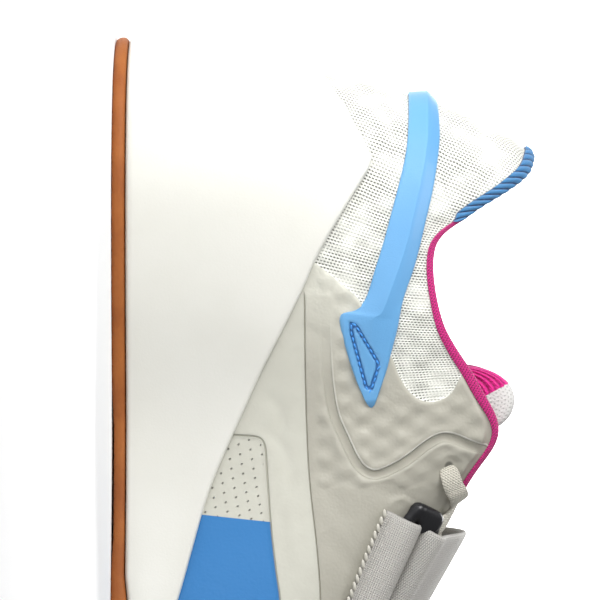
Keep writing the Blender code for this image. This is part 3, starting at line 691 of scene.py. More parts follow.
def upperForm(points):
    # How far the side-view panels and creases move the wall out, and the marks that colour them
    x, z = points[:, 0], points[:, 2]
    edge = upperSet["edgeSoft"]
    half = upperSet["grooveHalf"]
    knitLine, grooveLine, seamLine, windowLine = (smoothLine(sideLine(upperSet[name]))
                                                  for name in ("knitEdge", "groove", "seam", "window"))
    knit = areaDistance(points, np.vstack((knitLine, sideLine(upperSet["knitRear"]))))
    groove, grooveShare = lineDistance(points, grooveLine)
    behind = areaDistance(points, np.vstack((grooveLine, sideLine(upperSet["grooveRear"])))) > 0.0
    _, seamShare = lineDistance(points, seamLine)
    above = z - np.interp(x, seamLine[:, 0], seamLine[:, 1])
    window = areaDistance(points, windowLine)
    block = areaDistance(points, sideLine(upperSet["block"]))
    eye = np.linalg.norm(points[:, (0, 2)] - sideLine([upperSet["eye"]])[0], axis=1)
    cover = 1.0 - smooth(-edge, edge, knit)
    grooveFade = 1.0 - smooth(0.55, 0.98, grooveShare)
    seamFade = (1.0 - smooth(0.86, 1.0, seamShare)) * smooth(0.0, 0.02, seamShare)
    out = upperSet["coverStep"] * cover
    out -= upperSet["grooveDeep"] * (1.0 - smooth(0.6 * half, 1.3 * half, groove)) * grooveFade
    out += upperSet["ridgeHigh"] * np.exp(-((groove - upperSet["ridgeAway"] * half) / half) ** 2) * grooveFade
    out += upperSet["seamStep"] * smooth(-0.0002, 0.0004, above) * seamFade * cover
    out -= upperSet["windowDeep"] * smooth(-0.0004, edge, window)
    # the quilted knit, and the film over its rear
    wave = 2 * math.pi / upperSet["quiltPitch"]
    ways = ((0.0, 1.0), (0.866, 0.5), (0.866, -0.5))
    quilt = sum(np.cos(wave * (a * x + b * z)) for a, b in ways) / len(ways)
    film = (1.0 - smooth(0.0, 0.004, knit)) * smooth(0.0, 0.010, upperSet["quiltReach"] - groove)
    film = film * (x < upperSet["quiltFront"]) * (z > upperSet["quiltLow"]) * smooth(0.0015, 0.003, groove)
    puff = np.clip(film + upperSet["knitPuff"] * smooth(0.001, 0.004, knit), 0.0, 1.0)
    out += upperSet["quiltHigh"] * quilt * puff
    for line, width, high in creases:
        near, share = lineDistance(points, smoothLine(sideLine(line)))
        ends = np.sin(math.pi * np.clip(share, 0.02, 0.98)) ** 0.7
        out += high * millimetre * np.exp(-(near / (width * millimetre)) ** 2) * ends
    away = {"knit": knit, "groove": np.where(behind, groove, -groove), "window": window, "block": block,
            "above": above, "eye": eye}
    marks = {name: values / millimetre for name, values in away.items()}
    marks.update(grooveOn=grooveFade, seamOn=seamFade)
    return out, marks


def buildUpperHalf(name, first, last, across, up, material):
    rows = evenRows(first, last, across)
    places = np.linspace(0.0, 1.0, up)
    q, h = (v.ravel() for v in np.meshgrid(rows, places, indexing="ij"))
    outer = wallPoint(q, h)
    move, marks = upperForm(outer)
    # the relief dies out under the collar's tape and under the clip
    move = move * (1.0 - smooth(0.950, 0.972, h)) * smooth(0.0, 0.04, h)
    outer = (outer + wallNormal(q, h) * move[:, None]).reshape(len(rows), up, 3)
    innerH = np.concatenate(([1.0, 0.996, 0.985], np.linspace(0.96, 0.0, upperSet["innerUp"])))
    innerOut = np.concatenate(([-0.30, -0.72, -0.96], np.full(upperSet["innerUp"], -1.0))) * shoe["wall"]
    q, h = (v.ravel() for v in np.meshgrid(rows, innerH, indexing="ij"))
    inner = wallPoint(q, h, np.tile(innerOut, len(rows))).reshape(len(rows), len(innerH), 3)
    rings = np.concatenate((outer, inner), axis=1)
    # inside the shoe the marks are far from every line
    inside = {"grooveOn": 0.0, "seamOn": 0.0, "eye": 20.0, "lined": 1.0}
    marks["lined"] = np.zeros(len(outer) * up)
    for key, values in marks.items():
        layer = np.full((len(rows), len(innerH)), inside.get(key, -20.0))
        marks[key] = np.concatenate((values.reshape(len(rows), up), layer), axis=1)
    return tubeMesh(name, rings, material, flow=flowMap(rings), marks=marks)


def upperMaterial():
    material, tree, shader = newMaterial("upperCover", upperSet["white"], 0.52)
    flow = flowVector(tree)
    place = placeVector(tree)
    grain = leather(tree, place, 1.15, 0.16)
    knit = stepUp(tree, readMark(tree, "knit"), -0.15, 0.15)
    cover = flip(tree, knit)
    window = stepUp(tree, readMark(tree, "window"), -0.1, 0.1)
    block = times(tree, stepUp(tree, readMark(tree, "block"), -0.08, 0.08), window)
    above = stepUp(tree, readMark(tree, "above"), -0.1, 0.1)
    lined = readMark(tree, "lined")
    # the knit's holes are painted shade, fainter in patches that stand in for where light washes them out
    paintedLightMix = stepUp(tree, noise(tree, place, 0.11, 2.0), 0.3, 0.62)
    knitHoles = times(tree, holeMask(tree, sidewaysVector(tree), upperSet["knitHoles"]), knit)
    knitHoles = times(tree, knitHoles, plus(tree, paintedLightMix, 0.35))
    # the window's holes are painted shade, behind the blue block none
    turn = math.radians(upperSet["windowTurn"])
    turned = addNode(tree, "ShaderNodeVectorRotate", {"Vector": flow, "Angle": turn},
                     rotation_type="Z_AXIS").outputs[0]
    clear = times(tree, stepUp(tree, readMark(tree, "window"), 0.9, 1.3), flip(tree, block))
    windowHoles = times(tree, holeMask(tree, turned, upperSet["windowHoles"]), clear)
    # lines: the window's outline, the seam, the groove with painted shade down its middle and a painted
    # highlight on its lip, and painted shade in the eyelet
    outline = onLine(tree, readMark(tree, "window"), 0.12, 0.4)
    seam = times(tree, onLine(tree, readMark(tree, "above"), 0.06, 0.26), readMark(tree, "seamOn"))
    lines = maths(tree, "MAXIMUM", times(tree, seam, cover), times(tree, outline, 0.8))
    groove, grooveOn = readMark(tree, "groove"), readMark(tree, "grooveOn")
    channelShade = times(tree, onLine(tree, groove, 1.15, 1.45), grooveOn)
    lip = times(tree, onLine(tree, minus(tree, groove, 1.6), 0.1, 0.4), grooveOn)
    eye = onLine(tree, readMark(tree, "eye"), 0.9, 1.7)
    # the quarter above the seam greys from the heel forward: its own darker tone, kept lighter towards the
    # heel by painted light
    forward = addNode(tree, "ShaderNodeSeparateXYZ", {0: place}).outputs[0]
    quarterToneHeelLight = plus(tree, times(tree, stepUp(tree, forward, 32.0, 66.0), 0.8), 0.2)
    quarterToneHeelLight = times(tree, quarterToneHeelLight, times(tree, above, readMark(tree, "seamOn")))
    cloud = stepUp(tree, grain["Cloud"], 0.35, 0.75)
    base = mixColour(tree, times(tree, cloud, 0.22), upperSet["white"], upperSet["shade"])
    # painted shade in the holes, the groove and the eyelet, and a painted highlight on the groove's lip, laid
    # over the parts' colours
    layers = ((quarterToneHeelLight, 1.0, "quarter"), (knit, 1.0, "knit"), (knitHoles, 0.72, "holeShade"), (block, 1.0, "blue"),
              (windowHoles, 0.7, "holeShade"), (lines, 0.6, "line"), (channelShade, 0.08, "line"), (lip, 0.6, "knit"),
              (eye, 0.85, "holeShade"), (lined, 1.0, "lining"))
    for mask, strength, colour in layers:
        base = mixColour(tree, times(tree, mask, strength), base, upperSet[colour])
    paint(tree, shader, base)
    rough = plus(tree, times(tree, knit, upperSet["knitRough"]), upperSet["coverRough"])
    rough = maths(tree, "MAXIMUM", rough, times(tree, lined, upperSet["liningRough"]))
    tree.links.new(rough, shader.inputs["Roughness"])
    ribs = times(tree, threadHeight(tree, flow, upperSet["ribs"]), knit)
    grainy = times(tree, grain["Height"], plus(tree, times(tree, above, 0.5), 0.35))
    height = plus(tree, times(tree, grainy, cover), times(tree, ribs, 0.25))
    for mask, deep in ((knitHoles, 0.9), (windowHoles, 2.2), (lines, 1.2), (channelShade, 1.6), (lip, -0.9)):
        height = minus(tree, height, times(tree, mask, deep))
    addBump(tree, shader, height, upperSet["bump"])
    return material


def buildUpper():
    material = upperMaterial()
    for name, first, last, side in (("upperMedial", 0.0, shoe["toeRow"], "medial"),
                                    ("upperLateral", shoe["toeRow"], shoe["turn"], "lateral")):
        piece = buildUpperHalf(name, first, last, upperSet[side + "Across"], upperSet[side + "Up"], material)
        finishPiece(piece, "white_leather", "upper")


buildUpper()
print("upper done")

# The heel clip: a hard white cup with the raised heel in it
clipSet = {
    "up": 44, "inner": 10, "across": 260, "edgeRound": 0.0011, "footRound": 0.0009, "footIn": 0.0010,
    "slopeStep": 0.06, "rough": 0.34,
    "white": (0.70, 0.695, 0.645), "warm": (0.64, 0.635, 0.575), "coat": 0.12, "coatRough": 0.25,
    # its top edge in the side view
    "edge": ((0, 61.9), (4, 61.9), (11.7, 62.3), (18, 66.5), (24.3, 70.7), (32.7, 75.2), (36, 77),
             (38.4, 77.8), (41, 77.2), (45, 74.9), (65.7, 62.6), (77.7, 57.3), (91.2, 50.6), (103.2, 44.6),
             (116.7, 38.6), (130.2, 32.6), (142.2, 28.1), (155.7, 24.3), (170.7, 20.1), (182, 16), (192, 13),
             (200, 12)),
}


def clipFoot(x):
    flat = shoe["outsoleThick"] + shoe["gap"]
    climb = (x + shoe["heelRest"] - shoe["clipClimb"]) / (shoe["clipFront"] - shoe["clipClimb"])
    return flat + (shoe["ballSeat"] - shoe["noseFloor"] - flat) * np.clip(climb, 0.0, 1.0)


def trayMesh(name, rows, profile, material, sharp=50.0):
    # Two sides that meet at the heel and close across the bed and the underside
    mesh = bpy.data.meshes.new(name)
    verts = []
    sides = []
    for side in (0, 1):
        q = rows if side == 0 else shoe["turn"] - rows
        points = profile(q)
        size = points.shape[1]
        start = len(verts)
        verts.extend(points.reshape(-1, 3).tolist())
        sides.append(start + np.arange(len(rows) * size).reshape(len(rows), size))
    faces = []
    for a in sides:
        faces += np.stack((a[:-1, :-1], a[1:, :-1], a[1:, 1:], a[:-1, 1:]), axis=-1).reshape(-1, 4).tolist()
    for k in (0, -1):
        m, n = sides[0][:, k], sides[1][:, k]
        faces += np.stack((m[:-1], m[1:], n[1:], n[:-1]), axis=-1).tolist()
    for end in (0, -1):
        faces.append(sides[0][end].tolist() + sides[1][end][::-1].tolist())
    mesh.from_pydata(verts, [], faces)
    return skinPiece(name, mesh, material, sharp)


def clipTopShare(q):
    line = smoothLine(sideLine(clipSet["edge"]), 4)
    return findHeight(q, lambda x: np.interp(x, line[:, 0], line[:, 1]))


def clipProfile(q):
    gap, lip, rand = shoe["gap"], shoe["clipLip"], shoe["randWidth"]
    low = clipFoot(along(outlineLoop, q)[:, 0])
    top = clipTopShare(q)
    lipPoint = wallPoint(q, top, gap + lip)
    reach = lipPoint[:, 2] - low
    # the outside is one curve from the foot to the lip, which it meets along the wall's own slope
    run = lipPoint - wallPoint(q, top - clipSet["slopeStep"], gap + lip)
    slope = np.linalg.norm(run, axis=1)
    lower = inset(q, 0.0, low) + outward(q) * shoe["clipBulge"]
    lower[:, 2] += 0.35 * reach
    upper = lipPoint - run / slope[:, None] * (0.3 * reach)[:, None]
    points = [inset(q, rand + gap, shoe["outsoleThick"] + gap), inset(q, rand + gap, low)]
    points.append(inset(q, clipSet["footIn"], low))
    foot = inset(q, 0.0, low + np.minimum(clipSet["footRound"], 0.2 * reach))
    r = np.minimum(clipSet["edgeRound"], 0.4 * reach)
    stop = 1.0 - r / np.linalg.norm(lipPoint - foot, axis=1)
    for k in np.linspace(0.0, 1.0, clipSet["up"]):
        points.append(bezier(foot, lower, upper, lipPoint, k * stop))
    for a in np.radians((25, 50, 75, 90)):
        down = r * (1 - math.sin(a)) / (slope / clipSet["slopeStep"])
        points.append(wallPoint(q, top - down, gap + lip - r * (1 - math.cos(a))))
    points.append(wallPoint(q, top, gap + 0.0002))
    for k in np.linspace(0.97, 0.0, clipSet["inner"]):
        points.append(wallPoint(q, top * k, gap))
    points.append(onSeat(q, rand + gap, 0.0))
    return np.stack(points, axis=1)


def clipMaterial():
    coat = {"Coat Weight": clipSet["coat"], "Coat Roughness": clipSet["coatRough"]}
    material, tree, shader = newMaterial("clipShell", clipSet["white"], clipSet["rough"], **coat)
    place = placeVector(tree)
    cloud = stepUp(tree, noise(tree, place, 0.035), 0.35, 0.7)
    fine = noise(tree, place, 1.6)
    paint(tree, shader, mixColour(tree, times(tree, cloud, 0.35), clipSet["white"], clipSet["warm"]))
    tree.links.new(plus(tree, times(tree, fine, 0.10), 0.30), shader.inputs["Roughness"])
    addBump(tree, shader, fine, 0.00004)
    return material


def buildClip():
    rows = evenOutline(0.0, rowAt(shoe["clipFront"]), clipSet["across"])
    piece = trayMesh("clipShell", rows, clipProfile, clipMaterial())
    finishPiece(piece, "white_shell", "heel_clip")


buildClip()
print("clip done")

# The gum outsole, with its tread cut in the shader and its wall rounded
soleSet = {
    "behind": 150, "ahead": 130, "bevel": 0.0012, "toeLean": 0.002, "hollow": 0.0002, "reliefRun": 0.012,
    "gum": (0.36, 0.115, 0.024), "dark": (0.27, 0.075, 0.015), "treadDeep": 3.0, "bump": 0.0003,
}


def underside(x):
    place = x + shoe["heelRest"]
    run = soleSet["reliefRun"]
    relief = shoe["waistRelief"] * smooth(shoe["waistRear"], shoe["waistRear"] + run, place)
    return relief * (1.0 - smooth(shoe["waistFront"] - run, shoe["waistFront"], place)) + spring(x)


def soleProfile(front):
    def profile(q):
        row = np.where(q > shoe["toeRow"], shoe["turn"] - q, q)
        ahead = row > front
        x = along(outlineLoop, q)[:, 0]
        low = underside(x)
        toe = smooth(shoe["springStart"], shoe["length"], x + shoe["heelRest"])
        wall = shoe["randHeight"] + (shoe["toeBumper"] - shoe["randHeight"]) * toe
        rand = np.where(ahead, wall, clipFoot(x) - shoe["gap"])
        bevel = np.minimum(soleSet["bevel"], 0.3 * (rand - low))
        lean = soleSet["toeLean"] * toe
        points = []
        for depth, lift in ((1.2, 0.0), (0.45, 0.3), (0.0, 1.0)):
            points.append(inset(q, bevel * depth, low + bevel * lift))
        for k in np.linspace(0.1, 0.9, 6):
            height = low + bevel + (rand - low - 1.6 * bevel) * k
            points.append(inset(q, lean * k - soleSet["hollow"] * math.sin(math.pi * k), height))
        for depth, drop in ((0.2, 0.4), (0.6, 0.1), (1.2, 0.0)):
            points.append(inset(q, lean + bevel * depth, rand - bevel * drop))
        inner = wallPoint(q, findHeight(q, lambda x: rand), shoe["gap"])
        inner[:, 2] = rand
        points.append(np.where(ahead[:, None], inner, inset(q, shoe["randWidth"], rand)))
        points.append(np.where(ahead[:, None], onSeat(q, shoe["randWidth"], 0.0),
                               inset(q, shoe["randWidth"], shoe["outsoleThick"])))
        return np.stack(points, axis=1)
    return profile


def soleMaterial():
    material, tree, shader = newMaterial("gumSole", soleSet["gum"], 0.6, **{"Specular IOR Level": 0.3})
    place = placeVector(tree)
    cloud = stepUp(tree, noise(tree, place, 0.08, 4.0), 0.3, 0.75)
    fine = noise(tree, place, 2.2, 4.0)
    paint(tree, shader, mixColour(tree, cloud, soleSet["gum"], soleSet["dark"]))
    # waved ribs of tread, on the faces that look down
    split = addNode(tree, "ShaderNodeSeparateXYZ", {0: place}).outputs
    normal = addNode(tree, "ShaderNodeNewGeometry").outputs["Normal"]
    level = addNode(tree, "ShaderNodeSeparateXYZ", {0: normal}).outputs[2]
    down = stepUp(tree, times(tree, level, -1.0), 0.7, 0.9)
    sway = maths(tree, "SINE", times(tree, split[1], 0.42))
    ridge = maths(tree, "SINE", plus(tree, times(tree, split[0], 0.7), times(tree, sway, 1.4)))
    tread = times(tree, stepUp(tree, maths(tree, "ABSOLUTE", ridge), 0.15, 0.4), down)
    height = plus(tree, times(tree, tread, soleSet["treadDeep"]), times(tree, fine, 0.5))
    addBump(tree, shader, height, soleSet["bump"])
    return material


def buildSole():
    front = rowAt(shoe["clipFront"]) + 0.02
    rows = np.concatenate((evenOutline(0.0, front, soleSet["behind"]),
                           evenOutline(front + 0.01, shoe["toeRow"], soleSet["ahead"])))
    piece = trayMesh("gumSole", rows, soleProfile(front), soleMaterial())
    finishPiece(piece, "gum_rubber", "outsole")


buildSole()
print("sole done")

# The blue moulded strip round the ankle, two facets with a stitched triangle at its front
stripSet = {
    "across": 560, "over": 46, "back": 10, "thick": 0.0028, "frontThin": 0.45,
    "flatFrom": 0.078, "flatTo": 0.098, "groove": 0.0004,
    "stitchPitch": 0.0019, "stitchThick": 0.00062, "guess": 7.4,
    "thread": (0.06, 0.30, 0.74), "blue": (0.12, 0.34, 0.62), "deep": (0.012, 0.10, 0.34), "bump": 0.00025,
    # across it: share of the width, then of the thickness on the ridged stretch and on the flat front
    "section": ((0.0, 0.0, 0.0), (0.0, 0.14, 0.4), (0.015, 0.24, 0.7), (0.05, 0.32, 0.95), (0.30, 0.66, 1.0),
                (0.55, 1.0, 1.0), (0.62, 0.93, 1.0), (0.94, 0.40, 0.97), (0.985, 0.28, 0.75),
                (1.0, 0.14, 0.4), (1.0, 0.0, 0.0)),
    "low": ((18, 89.7), (27, 89.4), (35.7, 88.6), (44.7, 86.6), (53.7, 84.2), (62.7, 81.8), (71.7, 79),
            (79.2, 76.7), (82.6, 74.6), (84.0, 72.6), (84.5, 69.4), (85.6, 68.4), (88.2, 68.6), (94.2, 70.0),
            (103.2, 72.8), (110.2, 75.7), (112.6, 77.2), (113.2, 77.9)),
    "high": ((18, 98.4), (27, 98.8), (34.2, 98.6), (46.2, 96.8), (58.2, 94), (70.2, 91), (80.7, 87.5),
             (89.7, 85.7), (97.4, 83.7), (102, 82.5), (110.6, 79.6), (112.6, 78.7), (113.2, 78.0)),
    "stitch": ((87.8, 71.9), (89.0, 73.7), (99.5, 79.9), (101.6, 79.8), (107.4, 77.9), (106.8, 76.4),
               (90.2, 71.9)),
}


def stripShare(q, column):
    line = smoothLine(sideLine(stripSet[column]), 5)
    return findHeight(q, lambda x: np.interp(x, line[:, 0], line[:, 1]))


def stripFlat(x):
    # How far the strip has gone over from its ridge to its flat front
    return smooth(stripSet["flatFrom"], stripSet["flatTo"], x + shoe["heelRest"])


def stripMaterial():
    material, tree, shader = newMaterial("blueMoulding", stripSet["blue"], 0.38, **{"Coat Weight": 0.15})
    seam = flip(tree, stepUp(tree, readMark(tree, "seam"), 0.25, 0.7))
    paint(tree, shader, mixColour(tree, times(tree, seam, 0.8), stripSet["blue"], stripSet["deep"]))
    fine = noise(tree, placeVector(tree), 2.0)
    addBump(tree, shader, minus(tree, times(tree, fine, 0.25), times(tree, seam, 1.5)), stripSet["bump"])
    return material


def buildStrip():
    tip = sideLine(stripSet["low"])[-1][0]
    fine = np.linspace(0.0, 9.0, 1200)
    reach = wallPoint(fine, stripShare(fine, "low"))[:, 0]
    last = float(np.interp(tip - 0.0001, reach, fine))
    rows = evenRows(-last, last, stripSet["across"])
    low = stripShare(rows, "low")
    high = stripShare(rows, "high")
    flat = stripFlat(wallPoint(rows, 0.5 * (low + high))[:, 0])
    width = np.linalg.norm(wallPoint(rows, high) - wallPoint(rows, low), axis=1)
    thick = stripSet["thick"] * (1.0 - stripSet["frontThin"] * flat) * np.clip(width / 0.0035, 0.15, 1.0)
    section = np.array(stripSet["section"])
    corners = np.arange(len(section))
    place = np.unique(np.concatenate((np.linspace(0.0, len(section) - 1.0, stripSet["over"]), corners)))
    rings = []
    for share, ridge, plain in zip(*(np.interp(place, corners, section[:, k]) for k in range(3))):
        out = shoe["gap"] + thick * (ridge * (1 - flat) + plain * flat)
        rings.append(wallPoint(rows, low + (high - low) * share, out))
    for share in np.linspace(0.9, 0.1, stripSet["back"]):
        rings.append(wallPoint(rows, low + (high - low) * share, shoe["gap"]))
    rings = np.stack(rings, axis=1)
    count, size = rings.shape[:2]
    # the groove that the triangle's stitches lie in
    line = sideLine(stripSet["stitch"])
    seam, _ = lineDistance(rings.reshape(-1, 3), np.vstack((line, line[:1])))
    dent = stripSet["groove"] * (1.0 - smooth(0.0004, 0.0009, seam)).reshape(count, size)
    dent[:, size - stripSet["back"]:] = 0.0
    normal = wallNormal(np.repeat(rows, size), np.full(count * size, 0.6)).reshape(count, size, 3)
    rings -= normal * dent[:, :, None]
    piece = tubeMesh("heelStrip", rings, stripMaterial(), marks={"seam": seam / millimetre}, sharp=28.0)
    finishPiece(piece, "blue_rubber", "heel_strip")
    thread, _, _ = newMaterial("blueThread", stripSet["thread"], 0.55)
    for guess, label in ((stripSet["guess"], "Medial"), (shoe["turn"] - stripSet["guess"], "Lateral")):
        path, faces = [], []
        for x, z in np.vstack((smoothLine(line, 4), line[:1])):
            q, h = settleSide(x, z, guess, 0.6)
            thick = stripSet["thick"] * (1.0 - stripSet["frontThin"] * stripFlat(x))
            path.append(wallPoint(q, h, shoe["gap"] + thick - 0.6 * stripSet["groove"])[0])
            faces.append(wallNormal(np.array([q]), np.array([h]))[0])
        points, runs = stitchLine(np.array(path), stripSet["stitchPitch"])
        face = np.tile(np.mean(faces, axis=0), (len(points), 1))
        sewn = stitchPiece("stripStitches" + label, points, runs, face, stripSet["stitchPitch"] * 0.78,
                           stripSet["stitchThick"], thread)
        finishPiece(sewn, "blue_rubber")


buildStrip()
print("strip done")

# The collar: blue roped padding round the heel, magenta tape from there to the throat
collarSet = {
    "liningRow": 4.30, "liningAcross": 900, "ropePitch": 0.0033, "ropeHigh": 0.0016, "ropeIn": 0.0062,
    "ropeTwist": 1.0, "ropeLap": 0.0038, "ropeOut": 0.0013,
    # deep is the painted shade in the gaps between the ropes
    "blue": (0.050, 0.24, 0.52), "deep": (0.005, 0.035, 0.12), "ropeThreads": (0.5, 0.7, 0.4),
    "tapeFront": 9.28, "tapeAcross": 420, "tapeOut": 0.0007, "tapeLap": 0.12,
    "tapeLow": 0.0011, "tapeMore": 0.0013,
    "tape": {"face": (0.66, 0.009, 0.22), "deep": (0.28, 0.003, 0.085), "rough": 0.78, "sheen": 0.2,
             "threads": (0.95, 0.8, 0.9), "change": (-0.2, 0.6), "bump": 0.00022},
}


def edgeFrame(q):
    point = wallPoint(q, np.ones(len(q)))
    up = point - wallPoint(q, np.full(len(q), 0.985))
    up /= np.linalg.norm(up, axis=1)[:, None]
    return point, up, wallNormal(q, np.ones(len(q)))


def liningMaterial():
    material, tree, shader = newMaterial("ropeLining", collarSet["blue"], 0.85, **{"Sheen Weight": 0.25})
    threads = threadHeight(tree, flowVector(tree), collarSet["ropeThreads"])
    # painted shade: deep blue in the gaps between the ropes and along the edge lapped over the wall, blue on
    # the rope crowns, with the threads' own tone
    ridge = stepUp(tree, readMark(tree, "ridge"), 0.10, 0.80)
    paintedLightMix = minus(tree, ridge, times(tree, threads, 0.15))
    paint(tree, shader, mixColour(tree, paintedLightMix, collarSet["deep"], collarSet["blue"]))
    addBump(tree, shader, threads, 0.00015)
    return material


def buildLining():
    last = collarSet["liningRow"]
    rows, total = evenTopline(-last, last, collarSet["liningAcross"])
    point, up, normal = edgeFrame(rows)
    share = np.linspace(0.0, 1.0, len(rows))
    ends = np.sin(math.pi * np.clip(0.03 + 0.94 * share, 0, 1)) ** 0.25
    ropes = round(total / collarSet["ropePitch"])
    proud = collarSet["ropeHigh"] * ends
    deep = collarSet["ropeIn"]
    rings, gaps = [], []

    def rope(angle):
        return np.abs(np.sin(math.pi * ropes * share + collarSet["ropeTwist"] * angle)) ** 0.7

    def addRing(ring, ridge):
        rings.append(ring)
        gaps.append(ridge)

    # lapped over the outer edge, less towards both ends and at the heel tab
    lap = collarSet["ropeLap"] * (0.45 + 0.55 * smooth(0.0, 0.10, np.minimum(share, 1.0 - share) * 2.0))
    lap = lap * (0.62 + 0.38 * smooth(0.012, 0.045, np.abs(point[:, 1])))
    addRing(wallPoint(rows, edgeShare(rows, lap), 0.00004), np.zeros(len(rows)))
    for turn in np.linspace(0.04, 0.96, 11):
        ridge = rope(-2.4 * (1.0 - turn))
        bulge = math.sin(math.pi * (0.12 + 0.62 * turn)) ** 0.6
        out = 0.0001 + collarSet["ropeOut"] * bulge * (0.35 + 0.65 * ridge)
        addRing(wallPoint(rows, edgeShare(rows, lap * (1.0 - turn)), out), ridge)
    # over the edge
    for angle in np.linspace(0.0, math.pi, 15):
        ridge = rope(angle)
        inward = -0.5 * deep * (1 - math.cos(angle)) * (0.86 + 0.14 * ridge)
        inward = inward + 0.5 * (1 + math.cos(angle)) * collarSet["ropeOut"] * (0.35 + 0.45 * ridge)
        lift = shoe["gap"] + proud * math.sin(angle) ** 0.65 * (0.70 + 0.30 * ridge)
        addRing(point + normal * inward[:, None] + up * lift[:, None], ridge)
    # down the inside, and back up against the wall
    for drop, inside in ((0.0015, 1.02), (0.004, 1.0), (0.008, 0.85), (0.012, 0.65), (0.016, 0.50)):
        ridge = rope(math.pi + drop / deep)
        inner = np.maximum(deep * inside * (0.86 + 0.14 * ridge), shoe["wall"] + 0.0006)
        addRing(wallPoint(rows, edgeShare(rows, drop), -inner), ridge)
    for drop in (0.016, 0.010, 0.004, 0.0005):
        addRing(wallPoint(rows, edgeShare(rows, drop), -shoe["wall"] - shoe["gap"]), np.ones(len(rows)))
    rings = np.stack(rings, axis=1)
    piece = tubeMesh("heelLining", rings, liningMaterial(), flow=flowMap(rings),
                     marks={"ridge": np.stack(gaps, axis=1)})
    finishPiece(piece, "blue_lining", "heel_lining")


def buildTapes():
    material = wovenMaterial("magentaTape", flowVector, collarSet["tape"])
    wall = shoe["wall"]
    tapeOut = collarSet["tapeOut"]
    first, last = collarSet["liningRow"] - collarSet["tapeLap"], collarSet["tapeFront"]
    turn = shoe["turn"]
    for name, node, start, end in (("tapeMedial", "collar_binding_medial", first, last),
                                   ("tapeLateral", "collar_binding_lateral", turn - last, turn - first)):
        rows, _ = evenTopline(start, end, collarSet["tapeAcross"])
        point, up, normal = edgeFrame(rows)
        # wider over the ankle's dip than at both ends
        row = np.where(rows > shoe["toeRow"], turn - rows, rows)
        dip = smooth(5.6, 6.8, row) * (1.0 - smooth(7.3, 8.1, row))
        _, _, high, top = wallCurve(rows)
        wide = collarSet["tapeLow"] + collarSet["tapeMore"] * dip
        drop = wide / (3.0 * np.linalg.norm(top - high, axis=1))
        rings = []
        for share, out in ((1.0, 0.0001), (1.0, 0.00035), (0.8, tapeOut), (0.4, tapeOut + 0.0001),
                           (0.0, tapeOut)):
            rings.append(wallPoint(rows, 1.0 - drop * share, out))
        for a in np.radians(np.linspace(20, 160, 8)):
            inward = -0.5 * wall + (0.5 * wall + tapeOut) * math.cos(a)
            rings.append(point + normal * inward + up * (0.0003 + 0.0011 * math.sin(a)))
        for share, out in ((0.0, -0.0005), (0.5, -0.0005), (1.0, -0.0005), (1.0, 0.0002)):
            rings.append(wallPoint(rows, 1.0 - drop * share, out - wall))
        rings = np.stack(rings, axis=1)
        piece = tubeMesh(name, rings, material, flow=flowMap(rings))
        finishPiece(piece, "magenta_tape", node)


buildLining()
buildTapes()
print("collar done")

# The tongue: a padded knit with a pink roped lining, thick and round at its top
tongueSet = {
    "front": 12.8, "rear": 8.3, "rows": 60, "narrow": 0.26, "lift": 0.42, "thick": 0.0060, "fit": 0.0012,
    "ribPitch": 0.0024, "ribHigh": 0.0004, "liningLine": ((106.2, 119.6), (110.2, 112.0)), "liningLow": 0.095,
    # the pad above the throat in the side view, from the last throat row: front face, then lining
    "face": ((0, 0), (-1.6, 5.6), (-3.6, 11.4), (-7, 15.8), (-11.4, 17.7), (-15.8, 17.0), (-19.4, 14.0),
             (-21.7, 9.4), (-22.7, 5), (-22.7, 1.6)),
    "back": ((-3, -5), (-6.4, -5.5), (-10, -5.6), (-13, -5.4), (-15.8, -5), (-18, -4.3), (-20, -3.2),
             (-21.5, -1.8), (-22.4, 0), (-22.7, 1.6)),
    # the holes' colour is painted shade in the knit
    "white": (0.66, 0.65, 0.63), "holeShade": (0.22, 0.215, 0.205), "pink": (0.72, 0.014, 0.25),
    # deep is the painted shade in the lining's rib valleys
    "deep": (0.36, 0.005, 0.12), "holes": (1.3, 1.1, 0.26), "threads": (1.3, 1.1), "bump": 0.0002,
}


def tongueLine(row, count):
    # One line across the top face, tucked under both throat edges
    out = -(shoe["wall"] + tongueSet["fit"])
    lines = []
    for q, shares in ((row, (0.030, 0.020, 0.010)), (shoe["turn"] - row, (0.010, 0.020, 0.030))):
        q = np.full(3, q)
        lines.append(wallPoint(q, np.array([edgeShare(q[:1], s)[0] for s in shares]), out))
    middle = 0.5 * (lines[0][-1] + lines[1][0])
    middle[2] += 0.0015
    near = 0.55 * lines[0][-1] + 0.45 * middle
    far = 0.55 * lines[1][0] + 0.45 * middle
    return smoothLine(np.vstack((lines[0], near, middle, far, lines[1])), count)


def tongueMaterial():
    material, tree, shader = newMaterial("tongueKnit", tongueSet["white"], 0.86, **{"Sheen Weight": 0.15})
    flow = flowVector(tree)
    holes = holeMask(tree, flow, tongueSet["holes"])
    threads = threadHeight(tree, flow, tongueSet["threads"])
    # painted shade in the knit's holes
    white = mixColour(tree, times(tree, holes, 0.35), tongueSet["white"], tongueSet["holeShade"])
    # painted shade: the pink lining darkens in the valleys between its ribs
    valleyShade = stepUp(tree, readMark(tree, "rib"), 0.35, -0.9)
    rose = mixColour(tree, valleyShade, tongueSet["pink"], tongueSet["deep"])
    paint(tree, shader, mixColour(tree, stepUp(tree, readMark(tree, "pink"), 0.35, 0.65), white, rose))
    addBump(tree, shader, minus(tree, times(tree, threads, 0.3), holes), tongueSet["bump"])
    return material


